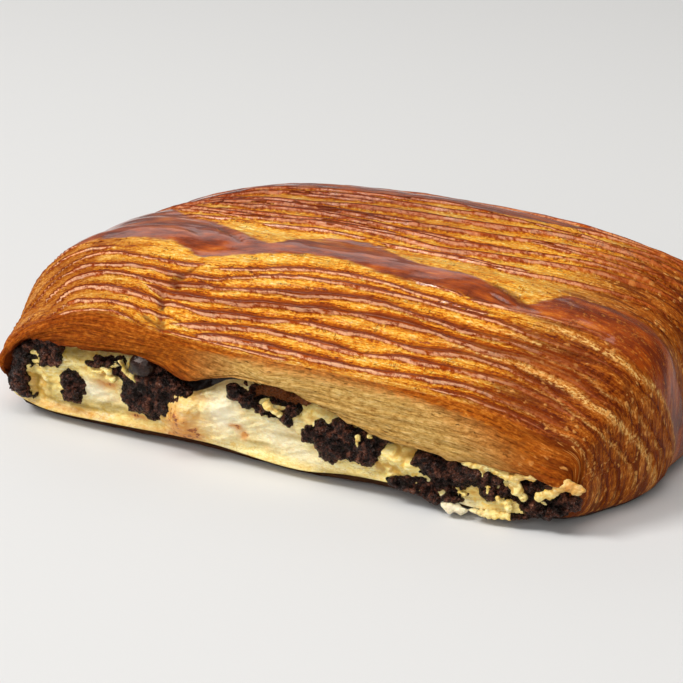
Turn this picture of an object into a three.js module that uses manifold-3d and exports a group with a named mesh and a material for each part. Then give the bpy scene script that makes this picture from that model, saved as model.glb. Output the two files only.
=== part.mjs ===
// Chocolate brioche pastry: a sleeve of laminated dough wrapped lengthwise round a filling
// of pastry cream and dark chocolate. Both long sides are open cuts that show the filling.
// Millimetres. X runs along the pastry, Y from the front cut to the back cut, Z is up.
import * as THREE from "three";
import { mergeVertices } from "three/addons/utils/BufferGeometryUtils.js";
import Module from "manifold-3d";

// Driving dimensions
const LENGTH = 140; // over the two bulging ends
const WIDTH = 84; // between the two cut sides
const CREST_HEIGHT = 37.6; // front swell of the top
const SHOULDER_HEIGHT = 22.8; // edge where the glazed top meets a cut side
const BULGE_HEIGHT = 9; // height at which the ends reach furthest
const LEFT_SHOULDER = 64; // reach of a cut side from the middle to the left end
const RIGHT_SHOULDER = 62; // and to the right end
const SHOULDER_INSET = 2.6; // shoulder behind the lip of the cut
const TUCK = 5; // base drawn in under each end
const BASE_INSET = 3.6; // base edge behind the lip of the cut
const BASE_LIFT = 1.3; // base edge off the surface, along each cut side
const FLAT_REACH = 30; // the base lies flat up to this far from the middle line
const LIP_LEFT = 18.4; // top of the filling in the deep half of the cut
const LIP_RIGHT = 11.8; // and in the shallow half
const FLOOR = 3.2; // thickness of the base dough
const END_THICKNESS = 2.2; // dough beside the filling at each end of a cut
const CAVITY_BULGE = 6.6; // height at which the filling reaches furthest
const CAVITY_CORNER = 3; // radius of the filling's lower corners
const RIDGES = 30; // baked ridges across the glazed top
const RIDGE_DEPTH = 1.3; // of the deepest ridges
const GAP = 0.3; // between dough, cream and chocolate
const SEED = 7;

// How round each end is: exponents of the superellipse quarter from bulge to crest.
const LEFT_END = { reach: 2.44, rise: 3.2 };
const RIGHT_END = { reach: 3.4, rise: 5.6 };
const CAVITY_END = { reach: 5, rise: 3 };

// Samples round the sleeve and through it
const OVER_TOP = 30;
const ROUND_TUCK = 2;
const ALONG_BASE = 10;
const WALL_SHARES = [0.3, 0.7];
const THROUGH = [-1, -0.86, -0.5, 0, 0.5, 0.86, 1];

// Height of the top over its width, as shares of the way from shoulder to crest
const CROWN = [
  [-1, 0],
  [-0.82, 0.3],
  [-0.63, 0.78],
  [-0.44, 1],
  [-0.2, 0.94],
  [0.24, 1.08],
  [0.6, 1.02],
  [0.83, 0.62],
  [1, 0],
];

// Swells and dents of the top: centre, spread along X and Y, and height
const SWELLS = [
  { x: -50, y: -6, alongX: 12, alongY: 8, height: 2.2 },
  { x: -54, y: 15, alongX: 12, alongY: 11, height: -2.4 },
  { x: 55, y: 22, alongX: 18, alongY: 13, height: -1.8 },
  { x: 6, y: 22, alongX: 18, alongY: 9, height: 0.6 },
  { x: -23, y: -20, alongX: 5, alongY: 2.6, height: -1.2 },
  { x: 42, y: -20, alongX: 5, alongY: 2.6, height: -1.1 },
  { x: -28, y: -31, alongX: 3.5, alongY: 6, height: -1 },
];

// Waves of the two shoulders and the two lips along X, one list for each cut side
const SHOULDER_WAVES = {
  front: [
    { x: -38, along: 11, height: 4 },
    { x: 57, along: 8, height: -2 },
  ],
  back: [
    { x: 34, along: 13, height: 2.6 },
    { x: -12, along: 10, height: -1.4 },
    { x: -50, along: 8, height: 1.2 },
  ],
};
const LIP_WAVES = {
  front: [
    { x: -29, along: 5, height: 0.9 },
    { x: -17, along: 4, height: -2.4 },
    { x: -3, along: 5, height: 0.6 },
  ],
  back: [
    { x: 30, along: 6, height: 1.4 },
    { x: 12, along: 5, height: -1.8 },
    { x: -30, along: 8, height: -1.2 },
  ],
};

// Chocolate masses. Each runs through the pastry from cut to cut, and its outline is an
// ellipse of the given width and height that drifts and changes size on the way.
const CHOCOLATE = [
  {
    name: "chocolate_shard_left",
    front: { x: -44.6, z: 9.4, width: 6, height: 6.4 },
    back: { x: -42, z: 11, width: 9, height: 7 },
    ends: [-40.6, 40.2],
  },
  {
    name: "chocolate_chunk_left",
    front: { x: -24.6, z: 11.2, width: 17, height: 9 },
    back: { x: -22, z: 8.6, width: 11, height: 7 },
    ends: [-41.6, 40.6],
  },
  {
    name: "chocolate_pocket",
    front: { x: -0.6, z: 14.2, width: 16, height: 6.4 },
    back: { x: -3.5, z: 12.4, width: 12, height: 7.5 },
    ends: [-39, 41],
  },
  {
    name: "chocolate_chunk_middle",
    front: { x: 17.4, z: 9.6, width: 18, height: 8 },
    back: { x: 16, z: 9.6, width: 13, height: 6.6 },
    ends: [-41.8, 40.4],
  },
  {
    name: "chocolate_chunk_right",
    front: { x: 39.4, z: 8.8, width: 18, height: 5.6 },
    back: { x: 35, z: 9.4, width: 12, height: 5.2 },
    ends: [-41.4, 41.2],
  },
  {
    name: "chocolate_seam_right",
    front: { x: 33.6, z: 4.9, width: 15, height: 2.8 },
    back: { x: 31, z: 5, width: 11, height: 2.6 },
    ends: [-40.6, 40.2],
  },
  {
    name: "chocolate_end_right",
    front: { x: 55, z: 7, width: 13.4, height: 6.6 },
    back: { x: 53.6, z: 7.4, width: 9, height: 6 },
    ends: [-40.8, 40.4],
  },
];
const CHIP = { name: "chocolate_chip", x: -27, y: -39.4, z: 16.7, radius: 2.2 };
const OUTLINE_SIDES = 12;
const BAR_STEPS = 5;
const LUMP = 0.9; // depth of the lumps on the chocolate
const LINING = 4.4; // thickness of the chocolate that lines the left end
const LINING_TOP_STOP = -47.5; // where that lining stops under the lip
const LINING_FLOOR_STOP = -54.5; // and on the base
const CREAM_FACE = 39.6; // cream face, out from the middle line
const CREAM_RELIEF = 1.1; // bumps of that face

const HALF = LENGTH / 2;
const SIDE = WIDTH / 2;

// Repeatable random numbers from 0 to 1
function randomFrom(seed) {
  let state = seed;
  return () => {
    state = (state * 16807) % 2147483647;
    return state / 2147483647;
  };
}

const mix = (a, b, share) => a + (b - a) * share;
const clamp = (value) => Math.min(1, Math.max(0, value));
const ease = (value) => clamp(value) ** 2 * (3 - 2 * clamp(value));
const bell = (offset, spread) => Math.exp(-0.5 * (offset / spread) ** 2);
const waves = (list, x) => list.reduce((sum, w) => sum + w.height * bell(x - w.x, w.along), 0);

// Smooth curve through stations [position, value] in rising order
function through(stations, at) {
  const last = stations.length - 1;
  let i = 0;
  while (i < last - 1 && at > stations[i + 1][0]) i++;
  const slope = (k) => {
    const from = stations[Math.max(0, k - 1)];
    const to = stations[Math.min(last, k + 1)];
    return (to[1] - from[1]) / (to[0] - from[0]);
  };
  const span = stations[i + 1][0] - stations[i][0];
  const t = clamp((at - stations[i][0]) / span);
  const start = stations[i][1];
  const end = stations[i + 1][1];
  const rise = (t ** 3 - 2 * t ** 2 + t) * slope(i) + (t ** 3 - t ** 2) * slope(i + 1);
  return start + (end - start) * ease(t) + rise * span;
}

// One wrap round the pastry in X and Z, seen from the front. A stop is a place on it:
// over the top from the right end to the left, round the left tuck, along the base to the
// right, and round the right tuck.
function wrapPoint(stop, size) {
  const { left, right, bulge, top, floor, tuck } = size;
  const t = stop.share;
  if (stop.zone === "top") {
    const toRight = Math.cos(t) >= 0;
    const end = toRight ? size.rightEnd : size.leftEnd;
    const reach = toRight ? right : -left;
    const x = reach * Math.abs(Math.cos(t)) ** (2 / end.reach);
    return [x, bulge + (top(x) - bulge) * Math.abs(Math.sin(t)) ** (2 / end.rise)];
  }
  if (stop.zone === "base") return [mix(tuck - left, right - tuck, t), floor];
  const turn = ((stop.zone === "left" ? t : 1 - t) * Math.PI) / 2;
  const drawnIn = tuck * (1 - Math.cos(turn));
  const x = stop.zone === "left" ? drawnIn - left : right - drawnIn;
  return [x, mix(bulge, floor, Math.sin(turn))];
}

const CREST = {
  left: HALF,
  right: HALF,
  bulge: BULGE_HEIGHT,
  top: () => CREST_HEIGHT,
  floor: 0,
  tuck: TUCK,
  leftEnd: LEFT_END,
  rightEnd: RIGHT_END,
};
const SHOULDER = {
  ...CREST,
  left: LEFT_SHOULDER,
  right: RIGHT_SHOULDER,
  top: () => SHOULDER_HEIGHT,
};
const lipHeight = (x) => mix(LIP_LEFT, LIP_RIGHT, ease((x - 2) / 30));
function cavity(gap) {
  return {
    left: LEFT_SHOULDER - END_THICKNESS - gap,
    right: RIGHT_SHOULDER - END_THICKNESS - gap,
    bulge: CAVITY_BULGE,
    top: (x) => lipHeight(x) - gap,
    floor: FLOOR + gap,
    tuck: CAVITY_CORNER,
    leftEnd: CAVITY_END,
    rightEnd: CAVITY_END,
  };
}

// Stops spaced evenly along the crest's wrap
function wrapStops() {
  const fine = 2000;
  const angles = Array.from({ length: fine + 1 }, (_, i) => (i / fine) * Math.PI);
  const run = [0];
  for (let i = 1; i <= fine; i++) {
    const [x0, z0] = wrapPoint({ zone: "top", share: angles[i - 1] }, CREST);
    const [x1, z1] = wrapPoint({ zone: "top", share: angles[i] }, CREST);
    run.push(run[i - 1] + Math.hypot(x1 - x0, z1 - z0));
  }
  const stops = [];
  for (let k = 0; k < OVER_TOP; k++) {
    const wanted = (k / OVER_TOP) * run[fine];
    const at = run.findIndex((length) => length >= wanted);
    stops.push({ zone: "top", share: angles[at] });
  }
  for (let k = 0; k < ROUND_TUCK; k++) stops.push({ zone: "left", share: k / ROUND_TUCK });
  for (let k = 0; k < ALONG_BASE; k++) stops.push({ zone: "base", share: k / ALONG_BASE });
  for (let k = 0; k < ROUND_TUCK; k++) stops.push({ zone: "right", share: k / ROUND_TUCK });
  // the last top stop is where the left tuck starts
  stops.splice(OVER_TOP, 0, { zone: "top", share: Math.PI });
  stops.splice(OVER_TOP + 1, 1);
  return stops;
}

// In plan the corners are rounded: both cut sides draw in towards the ends.
function drawIn(x, y) {
  const share = x > 0 ? 0.13 : 0.05;
  return y * (1 - share * Math.abs(x / HALF) ** 5);
}

const baseLift = (y) => BASE_LIFT * ease((Math.abs(y) - FLAT_REACH) / (SIDE - FLAT_REACH));

// Point of the cavity's wall; depth runs from -1 at the front cut to 1 at the back cut
function cavityPoint(stop, depth, gap, reach) {
  const [x, z] = wrapPoint(stop, cavity(gap));
  const overBase = ease((z - FLOOR) / 8);
  const y = depth * reach(overBase);
  const side = depth < 0 ? LIP_WAVES.front : LIP_WAVES.back;
  const lip = waves(side, x) * ease((Math.abs(depth) - 0.6) / 0.4) * ease((z - 9) / 6);
  return new THREE.Vector3(x, drawIn(x, y), z + lip + baseLift(y) * (1 - overBase));
}

// Point of the outside; across runs from -1 at the front shoulder to 1 at the back one
function outsidePoint(stop, across) {
  const share = through(CROWN, across);
  const [x0, z0] = wrapPoint(stop, SHOULDER);
  const [x1, z1] = wrapPoint(stop, CREST);
  const x = mix(x0, x1, clamp(share));
  const overBase = clamp(z0 / BULGE_HEIGHT);
  const y = across * (SIDE - mix(BASE_INSET + 1, SHOULDER_INSET, overBase));
  const onTop = stop.zone === "top" ? ease(Math.sin(stop.share) * 1.6) : 0;
  const list = across < 0 ? SHOULDER_WAVES.front : SHOULDER_WAVES.back;
  let z = mix(z0, z1, share) + waves(list, x) * onTop * (1 - clamp(share));
  for (const s of SWELLS) z += s.height * onTop * bell(x - s.x, s.alongX) * bell(y - s.y, s.alongY);
  if (stop.zone !== "top") z += baseLift(y) * (1 - overBase);
  return new THREE.Vector3(x, drawIn(x, y), z);
}

// Places across the top that are spaced evenly over its curve at mid length
function ridgePlaces(count) {
  const fine = 600;
  const middle = { zone: "top", share: Math.PI / 2 };
  const run = [0];
  for (let i = 1; i <= fine; i++) {
    const from = outsidePoint(middle, (2 * (i - 1)) / fine - 1);
    run.push(run[i - 1] + from.distanceTo(outsidePoint(middle, (2 * i) / fine - 1)));
  }
  return Array.from({ length: count + 1 }, (_, k) => {
    const wanted = (k / count) * run[fine];
    return (2 * run.findIndex((length) => length >= wanted - 1e-9)) / fine - 1;
  });
}

// Closed surface over a grid that is joined to itself both ways
function ringSurface(grid) {
  const rows = grid.length;
  const columns = grid[0].length;
  const index = [];
  for (let i = 0; i < rows; i++) {
    for (let j = 0; j < columns; j++) {
      const a = i * columns + j;
      const b = i * columns + ((j + 1) % columns);
      const c = ((i + 1) % rows) * columns + ((j + 1) % columns);
      const d = ((i + 1) % rows) * columns + j;
      index.push(a, c, b, a, d, c);
    }
  }
  const geometry = new THREE.BufferGeometry().setFromPoints(grid.flat());
  geometry.setIndex(index);
  return geometry;
}

// The dough: filling side, back cut face, ridged top from back to front, front cut face
function doughGeometry() {
  const random = randomFrom(SEED);
  const places = ridgePlaces(2 * RIDGES);
  const depths = places.map((_, k) => (k % 2 ? 1 : -1) * mix(0.25, 0.5, random()) * RIDGE_DEPTH);
  const lipReach = (overBase) => SIDE - BASE_INSET * (1 - overBase);
  const grid = wrapStops().map((stop) => {
    const ring = THROUGH.map((depth) => cavityPoint(stop, depth, 0, lipReach));
    const wall = (side, shares) => {
      const lip = cavityPoint(stop, side, 0, lipReach);
      const shoulder = outsidePoint(stop, side);
      for (const share of shares) {
        const point = lip.clone().lerp(shoulder, share);
        point.y += side * share * (1 - share) * 2;
        ring.push(point);
      }
    };
    wall(1, WALL_SHARES);
    for (let k = places.length - 1; k >= 0; k--) {
      const point = outsidePoint(stop, places[k]);
      const onTop = stop.zone === "top" ? ease(point.z / 12) : 0;
      const smoothBand = 1 - 0.85 * bell(places[k] + 0.44, 0.07);
      const atEdge = k === 0 || k === places.length - 1 ? 0 : 1;
      const lift = depths[k] * onTop * smoothBand * atEdge;
      const before = outsidePoint(stop, Math.max(-1, places[k] - 0.02));
      const after = outsidePoint(stop, Math.min(1, places[k] + 0.02));
      const tilt = Math.atan2(after.z - before.z, after.y - before.y);
      point.y -= Math.sin(tilt) * lift;
      point.z += Math.cos(tilt) * lift;
      ring.push(point);
    }
    wall(-1, [...WALL_SHARES].reverse());
    return ring;
  });
  return ringSurface(grid);
}

// Solid that fills the cavity, with a face at each end given as a function of X and Z
function fillingGeometry(faceAt) {
  const stops = wrapStops();
  const reach = () => SIDE - 1.2;
  const middleZ = 8;
  const shares = [0.92, 0.72, 0.4];
  const rings = [];
  const cap = (side, list) => {
    for (const share of list) {
      rings.push(
        stops.map((stop) => {
          const rim = cavityPoint(stop, side, GAP, reach);
          const x = rim.x * share;
          const z = mix(middleZ, rim.z, share);
          return new THREE.Vector3(x, drawIn(x, side * faceAt(x, z, side)), z);
        }),
      );
    }
  };
  cap(-1, [...shares].reverse());
  for (const depth of THROUGH) {
    rings.push(
      stops.map((stop) => {
        const point = cavityPoint(stop, depth, GAP, reach);
        if (Math.abs(depth) === 1) point.y = drawIn(point.x, depth * faceAt(point.x, point.z, depth));
        return point;
      }),
    );
  }
  cap(1, shares);
  const points = rings.flat();
  const count = stops.length;
  const index = [];
  for (let r = 0; r < rings.length - 1; r++) {
    for (let k = 0; k < count; k++) {
      const a = r * count + k;
      const b = r * count + ((k + 1) % count);
      index.push(a, b, b + count, a, b + count, a + count);
    }
  }
  for (const [ring, side] of [[0, -1], [rings.length - 1, 1]]) {
    const hub = points.length;
    points.push(new THREE.Vector3(0, side * faceAt(0, middleZ, side), middleZ));
    for (let k = 0; k < count; k++) {
      const a = ring * count + k;
      const b = ring * count + ((k + 1) % count);
      index.push(...(side < 0 ? [hub, b, a] : [hub, a, b]));
    }
  }
  const geometry = new THREE.BufferGeometry().setFromPoints(points);
  geometry.setIndex(index);
  return geometry;
}

// Soft lumps for chocolate and cream: a sum of a few sines in three directions
function lumps(point, size, phase) {
  const { x, y, z } = point;
  const wave = (2 * Math.PI) / size;
  return (
    (Math.sin(wave * (x + 0.4 * z) + phase) +
      Math.sin(wave * (0.8 * y - 0.5 * x) + 2.1 * phase) +
      Math.sin(wave * (0.9 * z + 0.3 * y) + 3.7 * phase)) /
    3
  );
}

// Bar from cut to cut: the outline is extruded along Y with rounded ends, then drifts from
// its front place to its back place and gets lumps.
function barGeometry(bar, phase, grow) {
  const unit = 10;
  const outline = new THREE.Shape();
  for (let k = 0; k < OUTLINE_SIDES; k++) {
    const angle = (k / OUTLINE_SIDES) * 2 * Math.PI;
    const radius = (unit / 2) * (1 + 0.1 * Math.sin(3 * angle + phase));
    const corner = [radius * Math.cos(angle), radius * Math.sin(angle)];
    if (k === 0) outline.moveTo(...corner);
    else outline.lineTo(...corner);
  }
  outline.closePath();
  const [start, end] = bar.ends;
  const round = 1.6;
  const geometry = new THREE.ExtrudeGeometry(outline, {
    depth: end - start - 2 * round,
    steps: BAR_STEPS,
    bevelEnabled: true,
    bevelThickness: round,
    bevelSize: round,
    bevelOffset: -round,
    bevelSegments: 2,
  });
  const position = geometry.getAttribute("position");
  const point = new THREE.Vector3();
  for (let i = 0; i < position.count; i++) {
    point.fromBufferAttribute(position, i);
    const depth = point.z + start + round;
    const share = ease((depth - start) / (end - start));
    const width = mix(bar.front.width, bar.back.width, share);
    const height = mix(bar.front.height, bar.back.height, share);
    const waist = 1 + 0.1 * Math.sin(depth / 6 + phase);
    const across = point.x / unit;
    const up = point.y / unit;
    const outward = Math.hypot(across, up) || 1;
    const middle = (end + start) / 2;
    const placed = new THREE.Vector3(
      mix(bar.front.x, bar.back.x, share) + across * width * waist,
      depth + (grow * (depth - middle)) / ((end - start) / 2),
      mix(bar.front.z, bar.back.z, share) + up * height * waist,
    );
    const lump = LUMP * lumps(placed, 7, phase) + grow;
    placed.x += (across / outward) * lump;
    placed.z += (up / outward) * lump;
    position.setXYZ(i, placed.x, drawIn(placed.x, placed.y), placed.z);
  }
  return geometry;
}

// Chocolate that lines the left end: a band inside the cavity's outline, from under the lip
// round the end to the floor
function liningGeometry(grow) {
  const side = (size) => {
    const kept = wrapStops()
      .filter((stop) => stop.zone === "top" || stop.zone === "left")
      .map((stop) => wrapPoint(stop, size))
      .filter(([x, z]) => x < (z > CAVITY_BULGE ? LINING_TOP_STOP : LINING_FLOOR_STOP));
    const highest = kept[0][1];
    const lowest = kept[kept.length - 1][1];
    return [[LINING_TOP_STOP + grow, highest], ...kept, [LINING_FLOOR_STOP + grow, lowest]];
  };
  const outer = side(cavity(-2));
  const inner = side({
    ...cavity(LINING + grow),
    floor: FLOOR + LINING / 3 + grow,
  });
  const outline = new THREE.Shape();
  [...outer, ...inner.reverse()].forEach(([x, z], k) => {
    if (k === 0) outline.moveTo(x, z);
    else outline.lineTo(x, z);
  });
  outline.closePath();
  const length = 2 * (CREAM_FACE + 1.4);
  const geometry = new THREE.ExtrudeGeometry(outline, {
    depth: length,
    steps: BAR_STEPS,
    bevelEnabled: false,
  });
  const position = geometry.getAttribute("position");
  for (let i = 0; i < position.count; i++) {
    const x = position.getX(i);
    const z = position.getY(i);
    const y = position.getZ(i) - length / 2;
    const lump = 0.6 * lumps({ x: 0, y, z }, 8, 1.3);
    const atEnd = Math.abs(y) > length / 2 - 0.01 ? grow * Math.sign(y) : 0;
    position.setXYZ(i, x + lump, drawIn(x, y + atEnd), z);
  }
  return geometry;
}

// A round chip of chocolate, a little flattened
function chipGeometry(grow) {
  const geometry = new THREE.IcosahedronGeometry(CHIP.radius + grow, 2);
  geometry.scale(1, 1, 0.9);
  geometry.translate(CHIP.x, drawIn(CHIP.x, CHIP.y), CHIP.z);
  return geometry;
}

// Front and back faces of the cream: bumpy, and hollow under the lip and round the pocket
function creamFace(x, z, side) {
  const bumps = CREAM_RELIEF * lumps({ x, y: 30 * side, z: 1.4 * z }, 13, 0.8);
  const underLip = 2.2 * ease((z - lipHeight(x) + 4) / 4);
  const pocket = side < 0 ? 1.6 * bell(x + 2, 6) * bell(z - 15, 3) : 0;
  return CREAM_FACE + bumps - underLip - pocket;
}

const wasm = await Module();
wasm.setup();

// A closed geometry as a solid; extruded shapes come mirrored when Y and Z are swapped
function solid(geometry) {
  const bare = new THREE.BufferGeometry();
  bare.setAttribute("position", geometry.getAttribute("position"));
  if (geometry.index) bare.setIndex(geometry.index);
  const merged = mergeVertices(bare, 1e-3);
  const triVerts = new Uint32Array(merged.index.array);
  const vertProperties = new Float32Array(merged.getAttribute("position").array);
  const made = new wasm.Manifold(new wasm.Mesh({ numProp: 3, vertProperties, triVerts }));
  if (made.volume() > 0) return made;
  for (let i = 0; i < triVerts.length; i += 3) {
    [triVerts[i + 1], triVerts[i + 2]] = [triVerts[i + 2], triVerts[i + 1]];
  }
  return new wasm.Manifold(new wasm.Mesh({ numProp: 3, vertProperties, triVerts }));
}

// Largest body of a solid, so that scraps left by a cut are dropped
function largest(shape) {
  return shape.decompose().reduce((a, b) => (b.volume() > a.volume() ? b : a));
}

function toGeometry(shape) {
  const mesh = shape.getMesh();
  const points = new Float32Array(mesh.numVert * 3);
  for (let i = 0; i < mesh.numVert; i++) {
    points.set(mesh.vertProperties.subarray(i * mesh.numProp, i * mesh.numProp + 3), 3 * i);
  }
  const geometry = new THREE.BufferGeometry();
  geometry.setAttribute("position", new THREE.BufferAttribute(points, 3));
  geometry.setIndex(new THREE.BufferAttribute(new Uint32Array(mesh.triVerts), 1));
  return geometry;
}

const doughFinish = new THREE.MeshStandardMaterial({ color: 0xb0662a, roughness: 0.35 });
const creamFinish = new THREE.MeshStandardMaterial({ color: 0xe6cd84, roughness: 0.6 });
const chocolateFinish = new THREE.MeshStandardMaterial({ color: 0x2e1c18, roughness: 0.5 });

const pastry = new THREE.Group();

function addPiece(name, shape, finish) {
  const geometry = toGeometry(shape);
  geometry.computeVertexNormals();
  const piece = new THREE.Mesh(geometry, finish);
  piece.name = name;
  pastry.add(piece);
}

addPiece("brioche_dough", solid(doughGeometry()), doughFinish);

const filling = solid(fillingGeometry(creamFace));
const room = solid(fillingGeometry(() => SIDE + 2));
const masses = CHOCOLATE.map((bar, k) => ({
  name: bar.name,
  shape: solid(barGeometry(bar, 1.7 * k, 0)),
  space: solid(barGeometry(bar, 1.7 * k, GAP)),
}));
masses.push({
  name: "chocolate_lining_left",
  shape: solid(liningGeometry(0)),
  space: solid(liningGeometry(GAP)),
});
masses.push({ name: CHIP.name, shape: solid(chipGeometry(0)), space: solid(chipGeometry(GAP)) });

let cream = filling;
for (const mass of masses) cream = cream.subtract(mass.space);
addPiece("pastry_cream", largest(cream), creamFinish);

masses.forEach((mass, k) => {
  let shape = mass.shape.intersect(room);
  for (const other of masses.slice(0, k)) shape = shape.subtract(other.space);
  addPiece(mass.name, largest(shape), chocolateFinish);
});

// The origin is under the middle of the whole, on the surface it stands on.
const box = new THREE.Box3().setFromObject(pastry);
const centre = box.getCenter(new THREE.Vector3());
for (const piece of pastry.children) {
  piece.geometry.translate(-centre.x, -centre.y, -box.min.z);
}

export default pastry;
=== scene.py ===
import math

import bmesh
import bpy
import numpy as np
from mathutils import Matrix, Vector


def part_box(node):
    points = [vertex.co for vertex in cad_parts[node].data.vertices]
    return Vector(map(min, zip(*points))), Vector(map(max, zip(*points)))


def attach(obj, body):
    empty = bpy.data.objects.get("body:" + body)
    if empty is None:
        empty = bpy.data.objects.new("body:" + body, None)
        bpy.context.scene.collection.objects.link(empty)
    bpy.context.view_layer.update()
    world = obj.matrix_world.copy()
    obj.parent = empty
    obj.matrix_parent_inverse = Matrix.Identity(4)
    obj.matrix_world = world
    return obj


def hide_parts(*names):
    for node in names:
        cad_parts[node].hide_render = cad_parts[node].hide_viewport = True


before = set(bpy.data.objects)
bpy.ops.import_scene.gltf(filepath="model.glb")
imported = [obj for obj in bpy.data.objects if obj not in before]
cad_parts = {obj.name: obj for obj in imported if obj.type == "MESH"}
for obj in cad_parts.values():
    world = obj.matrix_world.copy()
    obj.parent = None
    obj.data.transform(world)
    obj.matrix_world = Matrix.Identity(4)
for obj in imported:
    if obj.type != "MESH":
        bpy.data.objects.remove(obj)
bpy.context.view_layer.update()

# Chocolate brioche pastry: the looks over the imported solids. The form is worked out in
# millimetres, X along the pastry, Y from the front cut to the back cut, and written in metres.
mm = 0.001
doughLow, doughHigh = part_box("brioche_dough")
halfLength = (doughHigh[0] - doughLow[0]) / 2 / mm
halfWidth = (doughHigh[1] - doughLow[1]) / 2 / mm

form = {
    "crestHeight": 37.6, "shoulderHeight": 22.8, "bulgeHeight": 9.0,
    "leftShoulder": 64.0, "rightShoulder": 62.0, "shoulderInset": 2.6,
    "tuck": 5.0, "baseInset": 3.6, "baseLift": 1.3, "flatReach": 30.0,
    "lipLeft": 18.4, "lipRight": 11.8, "floor": 3.2, "endThickness": 2.2,
    "cavityBulge": 6.6, "cavityCorner": 3.0, "lipChange": (2, 30),
    "leftEnd": (2.44, 3.2), "rightEnd": (3.4, 5.6), "cavityEnd": (5.0, 3.0),
    # share by which the width shrinks at the left and at the right end
    "drawIn": (0.05, 0.13),
    # height of the top over its width, as shares of the way from shoulder to crest
    "crown": [(-1, 0), (-0.82, 0.3), (-0.63, 0.78), (-0.44, 1), (-0.2, 0.94),
              (0.24, 1.08), (0.6, 1.02), (0.83, 0.62), (1, 0)],
    # swells and dents of the top: x, y, spread along x and y, height
    "swells": [(-50, -6, 12, 8, 2.2), (-54, 15, 12, 11, -2.4), (55, 22, 18, 13, -1.8),
               (6, 22, 18, 9, 0.6), (-23, -20, 5, 2.6, -1.2), (42, -20, 5, 2.6, -1.1),
               (-28, -31, 3.5, 6, -1)],
    # waves of the shoulders and of the lips: x, spread, height
    "frontShoulder": [(-38, 11, 4), (57, 8, -2)],
    "backShoulder": [(34, 13, 2.6), (-12, 10, -1.4), (-50, 8, 1.2)],
    "frontLip": [(-54, 4.5, 1.7), (-29, 5, 0.9), (-17, 4, -2.4), (-3, 5, 0.6)],
    "backLip": [(30, 6, 1.4), (12, 5, -1.8), (-30, 8, -1.2)],
    # how high the bottom edge stands at the front cut: x, z
    "frontBase": [(-70, 3.6), (-61, 2.4), (-52, 0.7), (-34, 1.1), (-13, 1.7), (0, 0.6), (8, 0.4), (17, 1.6),
                  (27, 1.9), (37, 1.3), (43, 0.6), (50, 1), (57, 2), (63, 3.6)],
}


def bell(offset, spread):
    return np.exp(-0.5 * (offset / spread) ** 2)


def ease(share):
    share = np.clip(share, 0, 1)
    return share * share * (3 - 2 * share)


def mix(a, b, share):
    return a + (b - a) * share


def waves(rows, x):
    return sum(height * bell(x - at, spread) for at, spread, height in rows)


# bells over two directions: place in both, spread in both, height
def hills(rows, a, b):
    return sum(height * bell(a - atA, alongA) * bell(b - atB, alongB)
               for atA, atB, alongA, alongB, height in rows)


# smooth curve through stations (position, value) in rising order
def through(stations, at):
    place, value = np.array(stations, float).T
    last = len(place) - 1
    i = np.searchsorted(place[1:-1], at, side="left")
    before = np.maximum(np.arange(last + 1) - 1, 0)
    after = np.minimum(np.arange(last + 1) + 1, last)
    slope = (value[after] - value[before]) / (place[after] - place[before])
    span = place[i + 1] - place[i]
    t = np.clip((at - place[i]) / span, 0, 1)
    rise = (t**3 - 2 * t**2 + t) * slope[i] + (t**3 - t**2) * slope[i + 1]
    return value[i] + (value[i + 1] - value[i]) * ease(t) + rise * span


# repeatable soft noise from -1 to 1 over points of one to three coordinates
def noise(points, size, seed):
    points = np.asarray(points, float) / size + 37.3 * seed
    table = np.random.default_rng(seed).uniform(-1, 1, 8192)
    cell = np.floor(points).astype(np.int64)
    share = ease(points - cell)
    steps = np.array([1, 1579, 6121])[: points.shape[-1]]
    total = 0
    for corner in range(2 ** points.shape[-1]):
        bits = np.array([(corner >> axis) & 1 for axis in range(points.shape[-1])])
        weight = np.prod(np.where(bits == 1, share, 1 - share), axis=-1)
        total = total + weight * table[((cell + bits) @ steps) % 8192]
    return total


# One wrap round the pastry in X and Z. Zones: 0 over the top from right to left, 1 round the
# left tuck, 2 along the base to the right, 3 round the right tuck.
def wrapAt(zone, share, size):
    toRight = np.cos(share) >= 0
    reach = np.where(toRight, size["right"], -size["left"])
    reachPower = np.where(toRight, 2 / size["rightEnd"][0], 2 / size["leftEnd"][0])
    risePower = np.where(toRight, 2 / size["rightEnd"][1], 2 / size["leftEnd"][1])
    xTop = reach * np.abs(np.cos(share)) ** reachPower
    rise = np.abs(np.sin(share)) ** risePower
    zTop = size["bulge"] + (size["top"](xTop) - size["bulge"]) * rise
    turn = np.where(zone == 1, share, 1 - share) * math.pi / 2
    inward = size["tuck"] * (1 - np.cos(turn))
    xTuck = np.where(zone == 1, inward - size["left"], size["right"] - inward)
    zTuck = mix(size["bulge"], size["floor"], np.sin(turn))
    xBase = mix(size["tuck"] - size["left"], size["right"] - size["tuck"], share)
    x = np.where(zone == 0, xTop, np.where(zone == 2, xBase, xTuck))
    return x, np.where(zone == 0, zTop, np.where(zone == 2, size["floor"], zTuck))


crestSize = {
    "left": halfLength, "right": halfLength, "bulge": form["bulgeHeight"], "floor": 0,
    "top": lambda x: form["crestHeight"], "tuck": form["tuck"],
    "leftEnd": form["leftEnd"], "rightEnd": form["rightEnd"],
}
shoulderSize = dict(crestSize, left=form["leftShoulder"], right=form["rightShoulder"],
                    top=lambda x: form["shoulderHeight"])


def lipHeight(x):
    start, length = form["lipChange"]
    return mix(form["lipLeft"], form["lipRight"], ease((x - start) / length))


cavitySize = {
    "left": form["leftShoulder"] - form["endThickness"],
    "right": form["rightShoulder"] - form["endThickness"],
    "bulge": form["cavityBulge"], "floor": form["floor"], "tuck": form["cavityCorner"],
    "top": lipHeight, "leftEnd": form["cavityEnd"], "rightEnd": form["cavityEnd"],
}


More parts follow.
